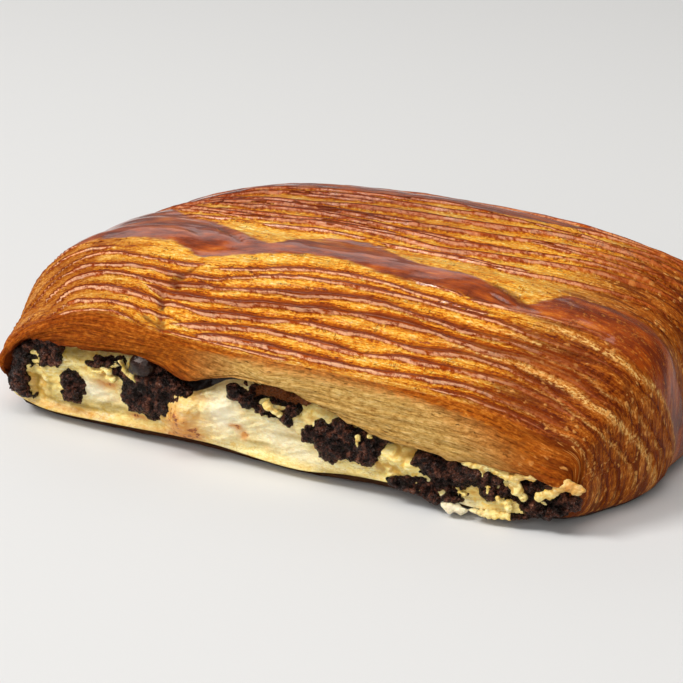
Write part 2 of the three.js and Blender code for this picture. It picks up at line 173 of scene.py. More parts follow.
def drawIn(x, y):
    left, right = form["drawIn"]
    return y * (1 - np.where(x > 0, right, left) * np.abs(x / halfLength) ** 5)


def baseLift(x, y):
    edge = np.where(y < 0, through(form["frontBase"], np.clip(x, -70, 63)), form["baseLift"])
    return edge * ease((np.abs(y) - form["flatReach"]) / (halfWidth - form["flatReach"]))


def joined(*parts):
    return np.stack(np.broadcast_arrays(*parts), -1)


# point of the outside; across runs from -1 at the front shoulder to 1 at the back one
def outside(zone, share, across):
    rise = through(form["crown"], across)
    x0, z0 = wrapAt(zone, share, shoulderSize)
    x1, z1 = wrapAt(zone, share, crestSize)
    x = mix(x0, x1, np.clip(rise, 0, 1))
    overBase = np.clip(z0 / form["bulgeHeight"], 0, 1)
    y = across * (halfWidth - mix(form["baseInset"] + 1, form["shoulderInset"], overBase))
    onTop = np.where(zone == 0, ease(np.sin(share) * 1.6), 0)
    edge = np.where(across < 0, waves(form["frontShoulder"], x), waves(form["backShoulder"], x))
    z = mix(z0, z1, rise) + edge * onTop * (1 - np.clip(rise, 0, 1))
    z = z + onTop * hills(form["swells"], x, y)
    z = z + np.where(zone == 0, 0, baseLift(x, y) * (1 - overBase))
    return joined(x, drawIn(x, y), z)


# point of the cavity's wall; depth runs from -1 at the front cut to 1 at the back cut
def cavity(zone, share, depth):
    x, z = wrapAt(zone, share, cavitySize)
    overBase = ease((z - form["floor"]) / 8)
    y = depth * (halfWidth - form["baseInset"] * (1 - overBase))
    lip = np.where(depth < 0, waves(form["frontLip"], x), waves(form["backLip"], x))
    z = z + lip * ease((np.abs(depth) - 0.6) / 0.4) * ease((z - 9) / 6)
    return joined(x, drawIn(x, y), z + baseLift(x, y) * (1 - overBase))


# Wire is one output of a node, Paint is a material being made
class Wire:
    def __init__(self, paint, socket):
        self.paint, self.socket = paint, socket

    def __add__(self, other): return self.paint.math("ADD", self, other)
    def __radd__(self, other): return self.paint.math("ADD", other, self)
    def __sub__(self, other): return self.paint.math("SUBTRACT", self, other)
    def __rsub__(self, other): return self.paint.math("SUBTRACT", other, self)
    def __mul__(self, other): return self.paint.math("MULTIPLY", self, other)
    def __rmul__(self, other): return self.paint.math("MULTIPLY", other, self)


def srgb(red, green, blue):
    linear = [((c / 255 + 0.055) / 1.055) ** 2.4 if c > 10 else c / 255 / 12.92
              for c in (red, green, blue)]
    return (*linear, 1.0)


class Paint:
    def __init__(self, name):
        self.material = bpy.data.materials.new(name)
        self.material.use_nodes = True
        self.tree = self.material.node_tree
        self.tree.nodes.clear()

    def node(self, kind, settings=None, inputs=None, output=0):
        made = self.tree.nodes.new(kind)
        for key, value in (settings or {}).items():
            if key == "stops":
                ramp = made.color_ramp
                while len(ramp.elements) < len(value):
                    ramp.elements.new(0.5)
                for element, (position, colour) in zip(ramp.elements, value):
                    element.position, element.color = position, colour
            else:
                setattr(made, key, value)
        for key, value in (inputs or {}).items():
            if isinstance(value, Wire):
                self.tree.links.new(value.socket, made.inputs[key])
            else:
                made.inputs[key].default_value = value
        return Wire(self, made.outputs[output]) if made.outputs else None

    def math(self, operation, *values):
        return self.node("ShaderNodeMath", {"operation": operation}, dict(enumerate(values)))

    def clamped(self, value):
        return self.node("ShaderNodeMath", {"operation": "ADD", "use_clamp": True}, {0: value, 1: 0.0})

    # spreads a value away from one half
    def gain(self, value, factor):
        return self.clamped((value - 0.5) * factor + 0.5)

    # smooth step of a value from 0 at low to 1 at high
    def step(self, value, low, high):
        return self.node("ShaderNodeMapRange", {"interpolation_type": "SMOOTHSTEP"},
                         {"Value": value, "From Min": low, "From Max": high})

    def blend(self, share, a, b, way="MIX"):
        return self.node("ShaderNodeMix", {"data_type": "RGBA", "blend_type": way, "clamp_factor": True},
                         {0: share, 6: a, 7: b}, 2)

    # colours at positions along a value
    def ramp(self, value, tones):
        stops = [(position, srgb(*colour)) for position, colour in tones]
        return self.node("ShaderNodeValToRGB", {"stops": stops}, {"Fac": value})

    # thin lines where a value passes one half
    def seams(self, value, thin, wide):
        return 1 - self.step(self.math("ABSOLUTE", value - 0.5), thin, wide)

    def attribute(self, name):
        return self.node("ShaderNodeAttribute", {"attribute_name": name}, None, "Vector")

    # place on the object in mm
    def place(self):
        return self.stretched(self.node("ShaderNodeTexCoord", None, None, "Object"), (mm, mm, mm))

    def parts(self, vector):
        first = self.node("ShaderNodeSeparateXYZ", None, {0: vector})
        return [Wire(self, socket) for socket in first.socket.node.outputs]

    def stretched(self, vector, sizes, shift=(0, 0, 0)):
        return self.node("ShaderNodeMapping", None,
                         {"Vector": vector, "Scale": [1 / size for size in sizes], "Location": shift})

    def noise(self, vector, detail=3.0, roughness=0.55):
        return self.node("ShaderNodeTexNoise", None, {"Vector": vector, "Scale": 1.0, "Detail": detail,
                                                      "Roughness": roughness})

    def bump(self, height, distance):
        return self.node("ShaderNodeBump", None, {"Height": height, "Distance": distance})

    def finish(self, sockets):
        shader = self.node("ShaderNodeBsdfPrincipled", None, sockets)
        self.node("ShaderNodeOutputMaterial", None, {"Surface": shader})
        return self.material


# camera, at the photograph's viewing angle
view = {
    "azimuth": 28.14, "elevation": 20.76, "distance": 366.21, "target": (0, -3, 15),
    "lens": 94.88, "sensor": 36, "shift": (-0.0259, -0.00637),
}


# puts a camera or lamp at a distance in mm from a target and turns it towards it
def aimed(name, data, azimuth, elevation, distance, target=(0, 0, 0)):
    turn, rise = math.radians(azimuth), math.radians(elevation)
    back = Vector((math.sin(turn) * math.cos(rise), -math.cos(turn) * math.cos(rise), math.sin(rise)))
    holder = bpy.data.objects.new(name, data)
    holder.location = (Vector(target) + back * distance) * mm
    holder.rotation_mode = "QUATERNION"
    holder.rotation_quaternion = (-back).to_track_quat("-Z", "Y")
    bpy.context.scene.collection.objects.link(holder)
    return holder


def makeCamera():
    lens = bpy.data.cameras.new("camera")
    lens.lens, lens.sensor_width = view["lens"], view["sensor"]
    lens.shift_x, lens.shift_y = view["shift"]
    lens.clip_start, lens.clip_end = 0.01, 50
    bpy.context.scene.camera = aimed("camera", lens, view["azimuth"], view["elevation"],
                                     view["distance"], view["target"])


makeCamera()
print("camera placed")

# crust: one ring surface round the filling, replaces the dough
crust = {
    "rowsOver": 180, "rowsTuck": 5, "rowsBase": 32,
    "columnsOver": 341, "columnsWall": 39, "columnsInside": 21,
    "seed": 11,
    "ridgeHeight": 0.95, "groove": 0.25, "looseCount": 52,
    # ridges that end beyond endAlong run on; the seeded ones behind lie between backFrom and backTo
    "endAlong": 83, "backFrom": 72, "backTo": 90,
    # how much lower the ridges are at the right and at the left end
    "endCalm": 0.7, "leftCalm": 0.55,
    # rounding of the shoulders in mm: along most of the front, at its right end, at the back,
    # and as a share of these along the base
    "roundFront": 1.8, "roundRight": 8.5, "roundBack": 3.0, "underRound": 0.15,
    # relief in mm, and grains of it: height, size, seed
    "bandRelief": 0.2, "bandGrain": [(0.6, (2.6, 0.55), 21), (0.4, (1.7, 0.3), 22)],
    "swellGrain": [(0.16, (9, 3.2), 23)],
    "glazeGrain": [(0.14, (6, 2.6), 24), (0.06, (3, 1.1), 25)],
    "wallBulge": 0.9, "wallRelief": 0.3, "wallLayers": [(1, (9, 0.55), 26), (0.6, (5, 0.3), 27)],
    "wallGrain": [(0.35, 6, 28), (0.16, 1.6, 32)],
    "lipGrain": [(0.25, 2.4, 29), (0.15, 1.1, 30)],
    "underGrain": [(0.18, 4, 31)],
    # skin crumpled round the pinch in the left half: along, across, spread in both
    "crumpled": (-35, 9, 8, 7.5), "crumpledGrain": [(0.45, (2.6, 1.5), 33), (0.25, (1.2, 0.8), 34)],
    # creases where the skin folded in the oven: both ends (along, across), depth, width
    "creases": [((-31, 36), (-23, 30), 0.8, 0.6), ((-24, 31), (-18, 26), 0.7, 0.5),
                ((-34, 30), (-27, 27), 0.5, 0.8), ((-24, 18), (-29, 13), 0.6, 0.7),
                ((-30, 14), (-26, 11.5), 0.6, 0.6), ((-31, 10.6), (-28, 5), 0.7, 0.7),
                ((-29, 5), (-25, -0.5), 0.9, 0.8), ((-33, 4), (-28, 1.5), 0.6, 0.5),
                ((34, 27), (44, 24.6), 0.4, 0.5), ((40, 25), (47, 22.5), 0.5, 0.4),
                ((36, 24), (43, 22.6), 0.4, 0.3)],
    # colours from dark to light: position and red, green, blue
    "gold": [(0.04, (104, 36, 2)), (0.18, (172, 78, 6)), (0.34, (218, 126, 20)), (0.5, (242, 170, 52)),
             (0.68, (253, 206, 98)), (0.9, (255, 242, 176))],
    "browned": [(0.04, (74, 18, 1)), (0.3, (118, 40, 3)), (0.54, (158, 66, 7)), (0.74, (198, 102, 22)),
                (0.94, (242, 166, 74))],
    "skin": [(0.1, (100, 28, 2)), (0.4, (144, 54, 6)), (0.62, (176, 78, 14)), (0.9, (218, 124, 40))],
    "glaze": [(0.15, (76, 20, 1)), (0.42, (124, 44, 2)), (0.62, (166, 70, 5)), (0.88, (214, 116, 24))],
    "wall": [(0.05, (150, 108, 48)), (0.35, (206, 168, 92)), (0.58, (232, 202, 128)),
             (0.9, (250, 230, 168))],
    "toasted": [(0.05, (112, 46, 6)), (0.35, (170, 86, 16)), (0.58, (212, 126, 36)), (0.9, (242, 176, 84))],
    "underside": [(0.35, (70, 34, 14)), (0.5, (118, 64, 26)), (0.68, (160, 98, 44))],
    # where the bake gets darker: along at the right and at the left end, where it is also painted shade,
    # across at the front
    "rightBake": (38.0, 60.0), "leftBakeAndShade": (-58.0, -30.0), "lowBake": (0.3, 2.6),
}

# Ridges of the baked top: half width, height share, then stations (along, across) in mm.
# Along is measured over the crest from mid length, across from the front shoulder.
ridgeCourses = [
    (0.45, 0.9, [(-56, -0.6), (-52, 0.4), (-48, 0.6), (-42, 0.5), (-37, 0.7), (-33, 0.3), (-29, -0.6)]),
    (0.4, 0.6, [(-30, 0.3), (-22, 0.6), (-12, 1), (-2, 0.8), (8, 0.5)]),
    (0.45, 0.8, [(34, 0.8), (44, 1.4), (52, 1.4), (60, 1), (66, 0.2), (70, -1)]),
    (0.5, 1, [(-58, -1), (-56.4, 0.4), (-54.4, 2.2), (-51.4, 4.4), (-45.7, 3.9), (-39.4, 3.6), (-34.9, 4),
              (-28.6, 4.4), (-23, 3.6)]),
    (0.75, 1, [(-20, 1.6), (-12, 2.6), (-4, 2.9), (4, 2.4), (12, 2.1), (20, 2.1), (28, 2.4), (36, 2.9),
               (44, 3.6), (52, 3.4), (60, 3.4), (68, 2.2), (74, 1.9), (80, 3.2), (88, 6.4)]),
    (0.7, 1, [(-27, 1.6), (-20, 3.6), (-12, 5.2), (-4, 6.1), (4, 6.1), (12, 5.7), (20, 5.1), (28, 6.1),
              (36, 6.2), (44, 6.4), (52, 6.9), (62, 5.9), (70, 4.2), (76, 4.8), (82, 7.2), (90, 11)]),
    (0.7, 1, [(-60.5, -1), (-59.6, 1), (-58, 3.6), (-57, 6.6), (-54, 8.9), (-50, 9.2), (-44.8, 8.3),
              (-39, 8), (-33.7, 7.9), (-28, 8), (-20, 7.3), (-12, 8.3), (-4, 8.8), (4, 9.6), (12, 9.4),
              (20, 9.4), (28, 8.8), (34, 9.2), (40, 9.8), (48, 9.3), (56, 8.6), (62, 7.6), (70, 6.4),
              (76, 7.8), (82, 10.8), (90, 15.5)]),
    (0.85, 1, [(-36, 10.6), (-28, 10.4), (-20, 10.3), (-12, 11.1), (-4, 12.1), (4, 12.6), (12, 13.1),
               (20, 13.3), (28, 13), (36, 12.3), (44, 11.9), (54, 12.6), (60, 12.2), (68, 10.9), (74, 12.4),
               (80, 15.5), (88, 21)]),
    (0.6, 1, [(-67, -1), (-66, 0.4), (-62.8, 4.2), (-61, 8.2), (-57.7, 10.9), (-53.5, 12.6), (-48.4, 13.1),
              (-43.3, 12.8), (-36, 11.9), (-28, 12.8), (-20, 13.1), (-12, 13.7), (-4, 14.6), (4, 15.4),
              (12, 16.1), (20, 16.1), (28, 15.1), (36, 14.5), (44, 14.4), (56, 14.4), (64, 14), (70, 13.9),
              (76, 16.4), (82, 20), (90, 26)]),
    (0.5, 0.9, [(-73, -1), (-70, 3), (-66, 9), (-62, 12.4), (-59.8, 13.8), (-56.5, 15), (-52, 16.3),
                (-47, 15.8), (-42, 15.1), (-36, 15.1), (-28, 15.3), (-20, 14.8), (-12, 16.6), (-4, 18.3),
                (4, 18.7), (12, 18.9), (20, 18.6), (28, 18.2), (36, 18), (44, 17.4), (52, 17), (62, 17),
                (68, 16.6), (72, 17.6), (78, 21.5), (86, 27)]),
    (0.4, 0.8, [(-79, -1), (-74, 5), (-70, 8.6), (-66.7, 11.4), (-63.7, 14.2), (-59.5, 16.7), (-55.6, 18.3),
                (-50.5, 19.4), (-45.4, 19.1), (-40, 18.3), (-36, 17.8), (-28, 18.2), (-20, 18.2)]),
    (0.45, 0.8, [(-22, 16.9), (-12, 18.5), (-4, 20.1), (4, 20.9), (12, 21.1), (20, 20.2), (28, 19.4),
                 (36, 18.6), (42, 19.1)]),
    (0.45, 0.8, [(-84, 2), (-78, 8), (-73, 13), (-69, 16), (-64, 19), (-59, 21), (-52, 21.6), (-44, 21)]),
    (0.4, 0.8, [(-84, 11), (-78, 16.5), (-72, 20.4), (-66, 23), (-60, 24.4), (-54, 24.2)]),
    (0.45, 0.9, [(32, 20.7), (44, 21.5), (52, 21.5), (60, 21.7), (68, 21.4), (72, 22.6), (78, 26.6),
                 (86, 32)]),
    (0.35, 0.6, [(18, 23.1), (31, 21.5), (36, 21.1)]),
    (0.35, 0.8, [(64, 27), (70, 28), (76, 31), (84, 37), (92, 43)]),
    (0.45, 0.8, [(60, 33), (68, 35), (76, 39), (84, 44.5), (92, 50)]),
    (0.5, 0.9, [(6, 36.9), (20, 37.1), (28, 36.6), (36, 36), (44, 37.6), (52, 38.8), (60, 40.4), (70, 43),
                (82, 49), (92, 55)]),
    (0.45, 0.8, [(-24, 38.4), (-12, 39.2), (-4, 39.6), (6, 38.9)]),
    (0.6, 1, [(-70, 46), (-60, 46.6), (-48, 45), (-36, 42.8), (-28, 42.4), (-20, 41.9), (-12, 42.4),
              (-4, 42.2), (4, 41.9), (12, 40.8), (20, 39.9), (28, 40.8), (36, 41.9), (46, 44.4), (56, 46),
              (70, 49), (84, 55)]),
    (0.5, 1, [(-42, 48.5), (-28, 46.8), (-14, 47), (-4, 46.2), (4, 45.4), (12, 44.3), (20, 43.5),
              (28, 44.4), (38, 46.1), (50, 48), (62, 50)]),
    (0.55, 1, [(-72, 51), (-56, 50.6), (-34, 49.8), (-16, 49.2), (-4, 48.4), (4, 48.1), (12, 48.1),
               (20, 48.5), (28, 49.4), (36, 51.1), (44, 52.5), (56, 54), (72, 57), (86, 63)]),
    (0.4, 0.8, [(42, 49.3), (52, 50.3), (60, 50.2), (68, 51.2)]),
    (0.65, 1, [(-46, 53), (-31, 51.6), (-21, 51), (-14, 52), (-4, 52.4), (4, 52.9), (12, 53.1), (20, 53.1),
               (28, 54.5), (37, 57.2), (48, 58.5), (60, 59)]),
    (0.55, 1, [(-76, 57), (-60, 57.6), (-44, 57), (-24, 56.1), (-12, 57.3), (4, 57.3), (12, 57.6),
               (20, 58.8), (32, 60)]),
    (0.4, 0.8, [(-40, 60.4), (-20, 60.1), (0, 60.8), (18, 61.4)]),
    (0.5, 0.9, [(44, 61), (52, 60.1), (64, 60.8), (76, 63), (88, 68)]),
    (0.45, 0.9, [(34, 62.7), (44, 65.4), (56, 66.6), (70, 66)]),
]
# smooth glazed bands between a lower and an upper edge, as stations (along, across)
glazeBands = [
    ([(-86, 16), (-78, 20), (-70, 23.2), (-66, 24.2), (-60, 25.1), (-55, 25.8), (-49, 24.8), (-40, 24.2),
      (-33.4, 24), (-29.2, 22.6), (-25, 20.9), (-20, 21.8), (-15, 22.4), (-10, 23.3), (-5, 24.4), (0, 25),
      (5, 25), (10, 24), (15, 23), (20, 22.2), (25, 22.2), (30, 21.8), (40, 21.4), (50, 21.3), (57, 21.8),
      (62, 20.8), (67, 20.2), (72, 21), (78, 24.4), (88, 32)],
     [(-86, 56), (-70, 57), (-60, 56), (-52, 51), (-46, 44), (-40, 39), (-35, 37.3), (-31, 36.8),
      (-26, 34.2), (-21, 31.4), (-15, 27.6), (-11, 27.4), (-8, 33), (-5, 36.3), (0, 38), (5, 37.2),
      (10, 34.5), (15, 31), (20, 29), (25, 28), (30, 27.6), (40, 25.6), (44, 24.4), (47, 26.6), (50, 29.8),
      (56, 30), (60, 33), (64, 32.8), (70, 30.4), (78, 33.6), (88, 42)]),
    ([(-86, 62), (-50, 62.5), (-30, 62.4), (-10, 62.2), (10, 62.4), (20, 62.2), (30, 63), (38, 65.5),
      (48, 67), (88, 68)],
     [(-86, 64), (-50, 68), (-30, 69.4), (-10, 70), (10, 70.6), (20, 70.2), (30, 69.4), (38, 68),
      (48, 67.4), (88, 68.2)]),
]
# pale streaks of stretched dough: half width and stations
streakCourses = [
    (0.5, [(46, 20.2), (50, 19.8), (56, 19.4), (62, 18.9), (68, 18.5), (71, 19.4), (75, 22.2), (80, 26),
           (86, 30.6)]),
    (0.6, [(30, 11), (38, 11.3), (44, 10.9), (52, 10.9), (60, 10.3), (67, 8.9), (71, 9.4), (76, 11.2),
           (80, 13.4), (86, 18)]),
    (0.4, [(34, 16.2), (44, 16), (52, 15.7), (58, 15.5)]),
    (0.3, [(52, 8.2), (60, 7), (66, 5.8), (70, 5.3), (75, 6.3), (80, 8.8), (86, 12.6)]),
    (0.25, [(50, 2.6), (58, 2.5), (66, 1.2), (72, 0.4), (80, 1.2), (90, 5)]),
    (0.25, [(46, 13.2), (56, 13.4), (62, 13.2), (68, 12.2), (73, 13.6), (79, 17), (86, 22)]),
]


# one value of three numbers for each vertex, such as its place
def vertexValues(mesh, name):
    flat = np.empty(len(mesh.vertices) * 3, np.float32)
    mesh.vertices.foreach_get(name, flat)
    return flat.reshape(-1, 3).astype(float)


def makeRing(rows, columns):
    ring = bmesh.new()
    bmesh.ops.create_circle(ring, cap_ends=False, segments=columns, radius=1)
    bmesh.ops.rotate(ring, verts=ring.verts, cent=(0, 0, 0), matrix=Matrix.Rotation(math.pi / 2, 3, "X"))
    bmesh.ops.translate(ring, verts=ring.verts, vec=(3, 0, 0))
    bmesh.ops.spin(ring, geom=ring.verts[:] + ring.edges[:], cent=(0, 0, 0), axis=(0, 0, 1),
                   dvec=(0, 0, 0), angle=2 * math.pi, steps=rows, use_merge=True,
                   use_normal_flip=False, use_duplicate=False)
    mesh = bpy.data.meshes.new("ring")
    ring.to_mesh(mesh)
    ring.free()
    x, y, z = vertexValues(mesh, "co").T
    row = np.round(np.arctan2(y, x) / (2 * math.pi) * rows).astype(int) % rows
    column = np.round(np.arctan2(z, np.hypot(x, y) - 3) / (2 * math.pi) * columns).astype(int) % columns
    return mesh, row, column


# zone, share and place along the pastry of each row of the ring
def wrapRows():
    fine = 4000
    angles = np.linspace(0, math.pi, fine + 1)
    x, z = wrapAt(np.zeros(fine + 1), angles, crestSize)
    run = np.concatenate([[0], np.cumsum(np.hypot(np.diff(x), np.diff(z)))])
    over, corner, base = crust["rowsOver"], crust["rowsTuck"], crust["rowsBase"]
    top = np.interp(np.linspace(0, run[-1], over + 1), run, angles)
    zone = np.concatenate([np.zeros(over + 1), np.ones(corner - 1), np.full(base, 2.0),
                           np.full(corner, 3.0)])
    share = np.concatenate([top, np.arange(1, corner) / corner, np.arange(base) / base,
                            np.arange(corner) / corner])
    middle = np.interp(math.pi / 2, angles, run)
    along = np.interp(share, angles, middle - run)
    tuckLength = math.hypot(form["tuck"], form["bulgeHeight"])
    along = np.where(zone == 3, middle + (1 - share) * tuckLength, along)
    along = np.where(zone == 1, middle - run[-1] - share * tuckLength, along)
    return zone, share, along


# across from -1 to 1 of each column over the top, and its distance from the front shoulder
def crossColumns():
    fine = np.linspace(-1, 1, 4001)
    line = outside(np.zeros(fine.size), np.full(fine.size, math.pi / 2), fine)
    run = np.concatenate([[0], np.cumsum(np.linalg.norm(np.diff(line, axis=0), axis=1))])
    places = np.linspace(0, run[-1], crust["columnsOver"])
    return np.interp(places, run, fine), places


# the ring's columns run over the top, down the back wall, through the cavity, up the front wall
def columnKinds():
    over, wall, inside = crust["columnsOver"], crust["columnsWall"], crust["columnsInside"]
    at = np.arange(over + 2 * wall + inside)
    inBack = (at >= over) & (at < over + wall)
    inFront = at >= over + wall + inside
    return at < over, inBack, inFront, (at >= over + wall) & ~inFront


def wallSteps():
    return (np.arange(crust["columnsWall"]) + 1) / (crust["columnsWall"] + 1)


def coursePlaces(stations, along):
    (u0, s0), (u1, s1) = stations[-2:]
    beyond = np.maximum(along - u1, 0) * (s1 - s0) / (u1 - u0)
    return through(stations, np.clip(along, stations[0][0], u1)) + beyond


def courseSlope(stations, along):
    return (coursePlaces(stations, along + 0.4) - coursePlaces(stations, along - 0.4)) / 0.8


# ridges that reach the right end run on round the tuck
def fadeEnds(stations, along, over=5.0):
    last = stations[-1][0] if stations[-1][0] < crust["endAlong"] else 200
    return ease((along - stations[0][0]) / over) * ease((last - along) / over)


def backRidges():
    random = np.random.default_rng(crust["seed"])
    courses, across = [], crust["backFrom"]
    while across < crust["backTo"]:
        drift = random.uniform(-0.7, 0.7, 9)
        stations = [(-78 + 19 * k, across + drift[k]) for k in range(9)]
        courses.append((random.uniform(0.4, 0.7), random.uniform(0.8, 1.0), stations))
        across += random.uniform(2.5, 3.6)
    return courses


# short low ridges scattered over the top and its back half
def looseRidges():
    random = np.random.default_rng(crust["seed"] + 1)
    courses = []
    for _ in range(crust["looseCount"]):
        start, length, level = random.uniform(-74, 66), random.uniform(16, 46), random.uniform(34, 88)
        drift = random.uniform(-0.5, 0.5, 5)
        places = start + length * np.arange(5) / 4
        lift = 0.26 * np.maximum(places - 44, 0) * math.exp(-(((level - 50) / 18) ** 2))
        courses.append((random.uniform(0.28, 0.5), random.uniform(0.5, 0.9),
                        list(zip(places, level + drift + lift))))
    return courses


# Distance to the nearest ridge edge (negative inside), place across that ridge from -1 in
# front to 1 behind, and height of the ridges
def ridgeField(along, across):
    edge, lean = np.full(along.size, 3.0), np.zeros(along.size)
    height, groove = np.zeros(along.size), np.zeros(along.size)
    for number, (half, high, stations) in enumerate(ridgeCourses + looseRidges() + backRidges()):
        levels = [station[1] for station in stations]
        beyond = 14 if stations[-1][0] >= crust["endAlong"] else 0
        near = np.flatnonzero((across > min(levels) - 5) & (across < max(levels) + 5 + beyond)
                              & (along > stations[0][0] - 3) & (along < stations[-1][0] + 3 + beyond * 8))
        u, s = along[near], across[near]
        line = joined(u, 9.0 * number)
        course = coursePlaces(stations, u) + 0.22 * noise(line, 6.0, 3) + 0.09 * noise(line, 2.2, 4)
        presence = np.clip(fadeEnds(stations, u) * (1 + 0.35 * noise(line, 9.0, 5)), 0, 1)
        presence = presence * (1 - crust["endCalm"] * ease((u - 56) / 16))
        presence = presence * (1 - crust["leftCalm"] * ease((-60 - u) / 10))
        slope = courseSlope(stations, u)
        presence = presence * (1 - 0.9 * ease((np.abs(slope) - 1.1) / 1.2))
        width = 1.1 * half * (1 + 0.4 * noise(line, 6.0, 6)) * (0.3 + 0.7 * presence) - 0.5 * (1 - presence)
        offset = (s - course) / np.sqrt(1 + slope**2)
        gap = np.abs(offset) - width
        closer = gap < edge[near]
        edge[near] = np.where(closer, gap, edge[near])
        lean[near] = np.where(closer, np.clip(offset / np.maximum(width, 0.15), -2, 2), lean[near])
        # steep in front over a groove, gentle behind
        span = np.maximum(width, 0.25)
        front = ease((offset + span + 0.1) / (0.7 * span + 0.15))
        behind = 1 - ease((offset + 0.1 * span) / (1.3 * span + 0.15))
        ridge = np.minimum(front, behind) * high * presence * (0.6 + 0.5 * half)
        height[near] = np.maximum(height[near], ridge)
        dip = bell(offset + 1.15 * span + 0.15, 0.2) * high * presence
        groove[near] = np.maximum(groove[near], dip)
    return edge, lean, height - crust["groove"] * groove * (1 - ease(height * 3))


def glazeField(along, across):
    flow, glaze = joined(along, across), 0
    for low, high in glazeBands:
        ragged = 0.35 * noise(flow / [2.2, 1], 1.0, 7) + 0.2 * noise(flow / [0.9, 1], 1.0, 8)
        inBand = ease((across - coursePlaces(low, along) + ragged) / 0.8 + 0.5)
        inBand = inBand * ease((coursePlaces(high, along) - across + ragged) / 0.8 + 0.5)
        glaze = np.maximum(glaze, inBand)
    return glaze


def streakField(along, across):
    wander, streak = 0.25 * noise(joined(along, across), 3.0, 9), 0
    for half, stations in streakCourses:
        slope = courseSlope(stations, along)
        offset = np.abs(across - coursePlaces(stations, along) + wander) / np.sqrt(1 + slope**2)
        strength = min(1, half / 0.5) * ease(1.5 - offset / half)
        streak = np.maximum(streak, strength * fadeEnds(stations, along, 8.0))
    return streak


def writeAttribute(mesh, name, values):
    made = mesh.attributes.new(name, "FLOAT_VECTOR", "POINT")
    made.data.foreach_set("vector", np.ascontiguousarray(values, np.float32).ravel())


def finishPiece(name, mesh, material, nodes):
    mesh.materials.clear()
    mesh.materials.append(material)
    mesh.polygons.foreach_set("use_smooth", [True] * len(mesh.polygons))
    piece = bpy.data.objects.new(name, mesh)
    bpy.context.scene.collection.objects.link(piece)
    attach(piece, "root")
    if nodes:
        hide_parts(*nodes)
    print(name, "made,", sum(len(face.vertices) - 2 for face in mesh.polygons), "triangles")


def wallPoints(shoulder, lip, side):
    part = wallSteps()[None, :, None]
    points = mix(shoulder[:, None, :], lip[:, None, :], part)
    points[..., 1] += side * crust["wallBulge"] * 4 * (part * (1 - part))[..., 0]
    return points


# softens the ring where the top, the walls and the cavity meet
def softCorners(points):
    over, wall, columns = crust["columnsOver"], crust["columnsWall"], points.shape[1]
    at, near = np.arange(columns), np.zeros(columns)
    for corner in (0, over - 1, over + wall, columns - wall - 1):
        near = np.maximum(near, bell((at - corner + columns / 2) % columns - columns / 2, 2.0))
    for _ in range(3):
        smooth = (np.roll(points, 1, 1) + 2 * points + np.roll(points, -1, 1)) / 4
        points = mix(points, smooth, near[None, :, None])
    return points


# replaces a shoulder by a curve from the top to the wall; distances are negative over the top
def roundShoulder(points, line, lip, reach, spacing, distances, picked):
    length = np.linalg.norm(line[:, 0] - lip, axis=-1)
    reach = np.minimum(reach, 0.85 * length)[:, None]
    at = reach[:, 0] / spacing
    low = at.astype(int)
    each = np.arange(len(line))
    start = mix(line[each, low], line[each, low + 1], (at - low)[:, None])
    corner = line[:, 0]
    end = mix(corner, lip, reach / length[:, None])
    t = np.clip((distances / reach + 1) / 2, 0, 1)[..., None]
    curve = (1 - t) ** 2 * start[:, None] + 2 * t * (1 - t) * corner[:, None] + t**2 * end[:, None]
    within = (np.abs(distances) < reach)[..., None]
    points[:, picked] = np.where(within, curve, points[:, picked])


# where each point lies: along and across over the top, down the walls with negative across
def ringFlow(zones, along, points, places, frontLength, backLength):
    inTop, inBack, inFront, inHole = columnKinds()
    down = wallSteps()[None, :]
    flowAlong = np.where(zones == 2, points[:, :1, 0], along[:, None])
    flowAcross = np.zeros(points.shape[:2])
    flowAcross[:, inTop] = places[None, :]
    flowAcross[:, inFront] = -down[:, ::-1] * frontLength
    flowAcross[:, inBack] = places[-1] + down * backLength
    flowAcross[:, inHole] = -frontLength - 2
    fromTop = np.zeros(inTop.size)
    fromTop[inFront], fromTop[inBack] = ease(down[0, ::-1] * 4), ease(down[0] * 4)
    fromTop[inHole] = 1
    return joined(mix(flowAlong, points[..., 0], fromTop[None, :]), flowAcross)


# sum of noises, each given as height, size and seed
def grain(points, rows):
    return sum(height * noise(points / np.array(size), 1.0, seed) for height, size, seed in rows)


# relief in mm along the surface normal
def crustRelief(points, flow, zones, topMask, wallMask, ridges, glaze):
    over, wall = crust["columnsOver"], crust["columnsWall"]
    at = np.arange(points.shape[1])
    relief = crust["ridgeHeight"] * ridges * topMask
    bands = topMask * (1 - glaze) * (1 - 0.6 * ease(ridges * 2))
    relief += crust["bandRelief"] * grain(flow, crust["bandGrain"]) * bands
    relief += grain(flow, crust["swellGrain"]) * topMask
    relief += glaze * topMask * grain(flow, crust["glazeGrain"])
    layers = grain(flow, crust["wallLayers"]) * wallMask
    relief += crust["wallRelief"] * layers * np.where(zones == 0, 1.0, 0.4)
    relief += grain(points, crust["wallGrain"]) * wallMask
    lipNear = np.maximum(bell(at - over - wall, 4.0), bell(at - (at.size - wall - 1), 4.0))
    relief += lipNear[None, :] * grain(points, crust["lipGrain"])
    under = (zones == 2) & (at < over)[None, :]
    relief += under * grain(points, crust["underGrain"])
    u, s, alongU, alongS = crust["crumpled"]
    crumpled = bell(flow[..., 0] - u, alongU) * bell(flow[..., 1] - s, alongS) * topMask
    return relief + crumpled * grain(flow, crust["crumpledGrain"])


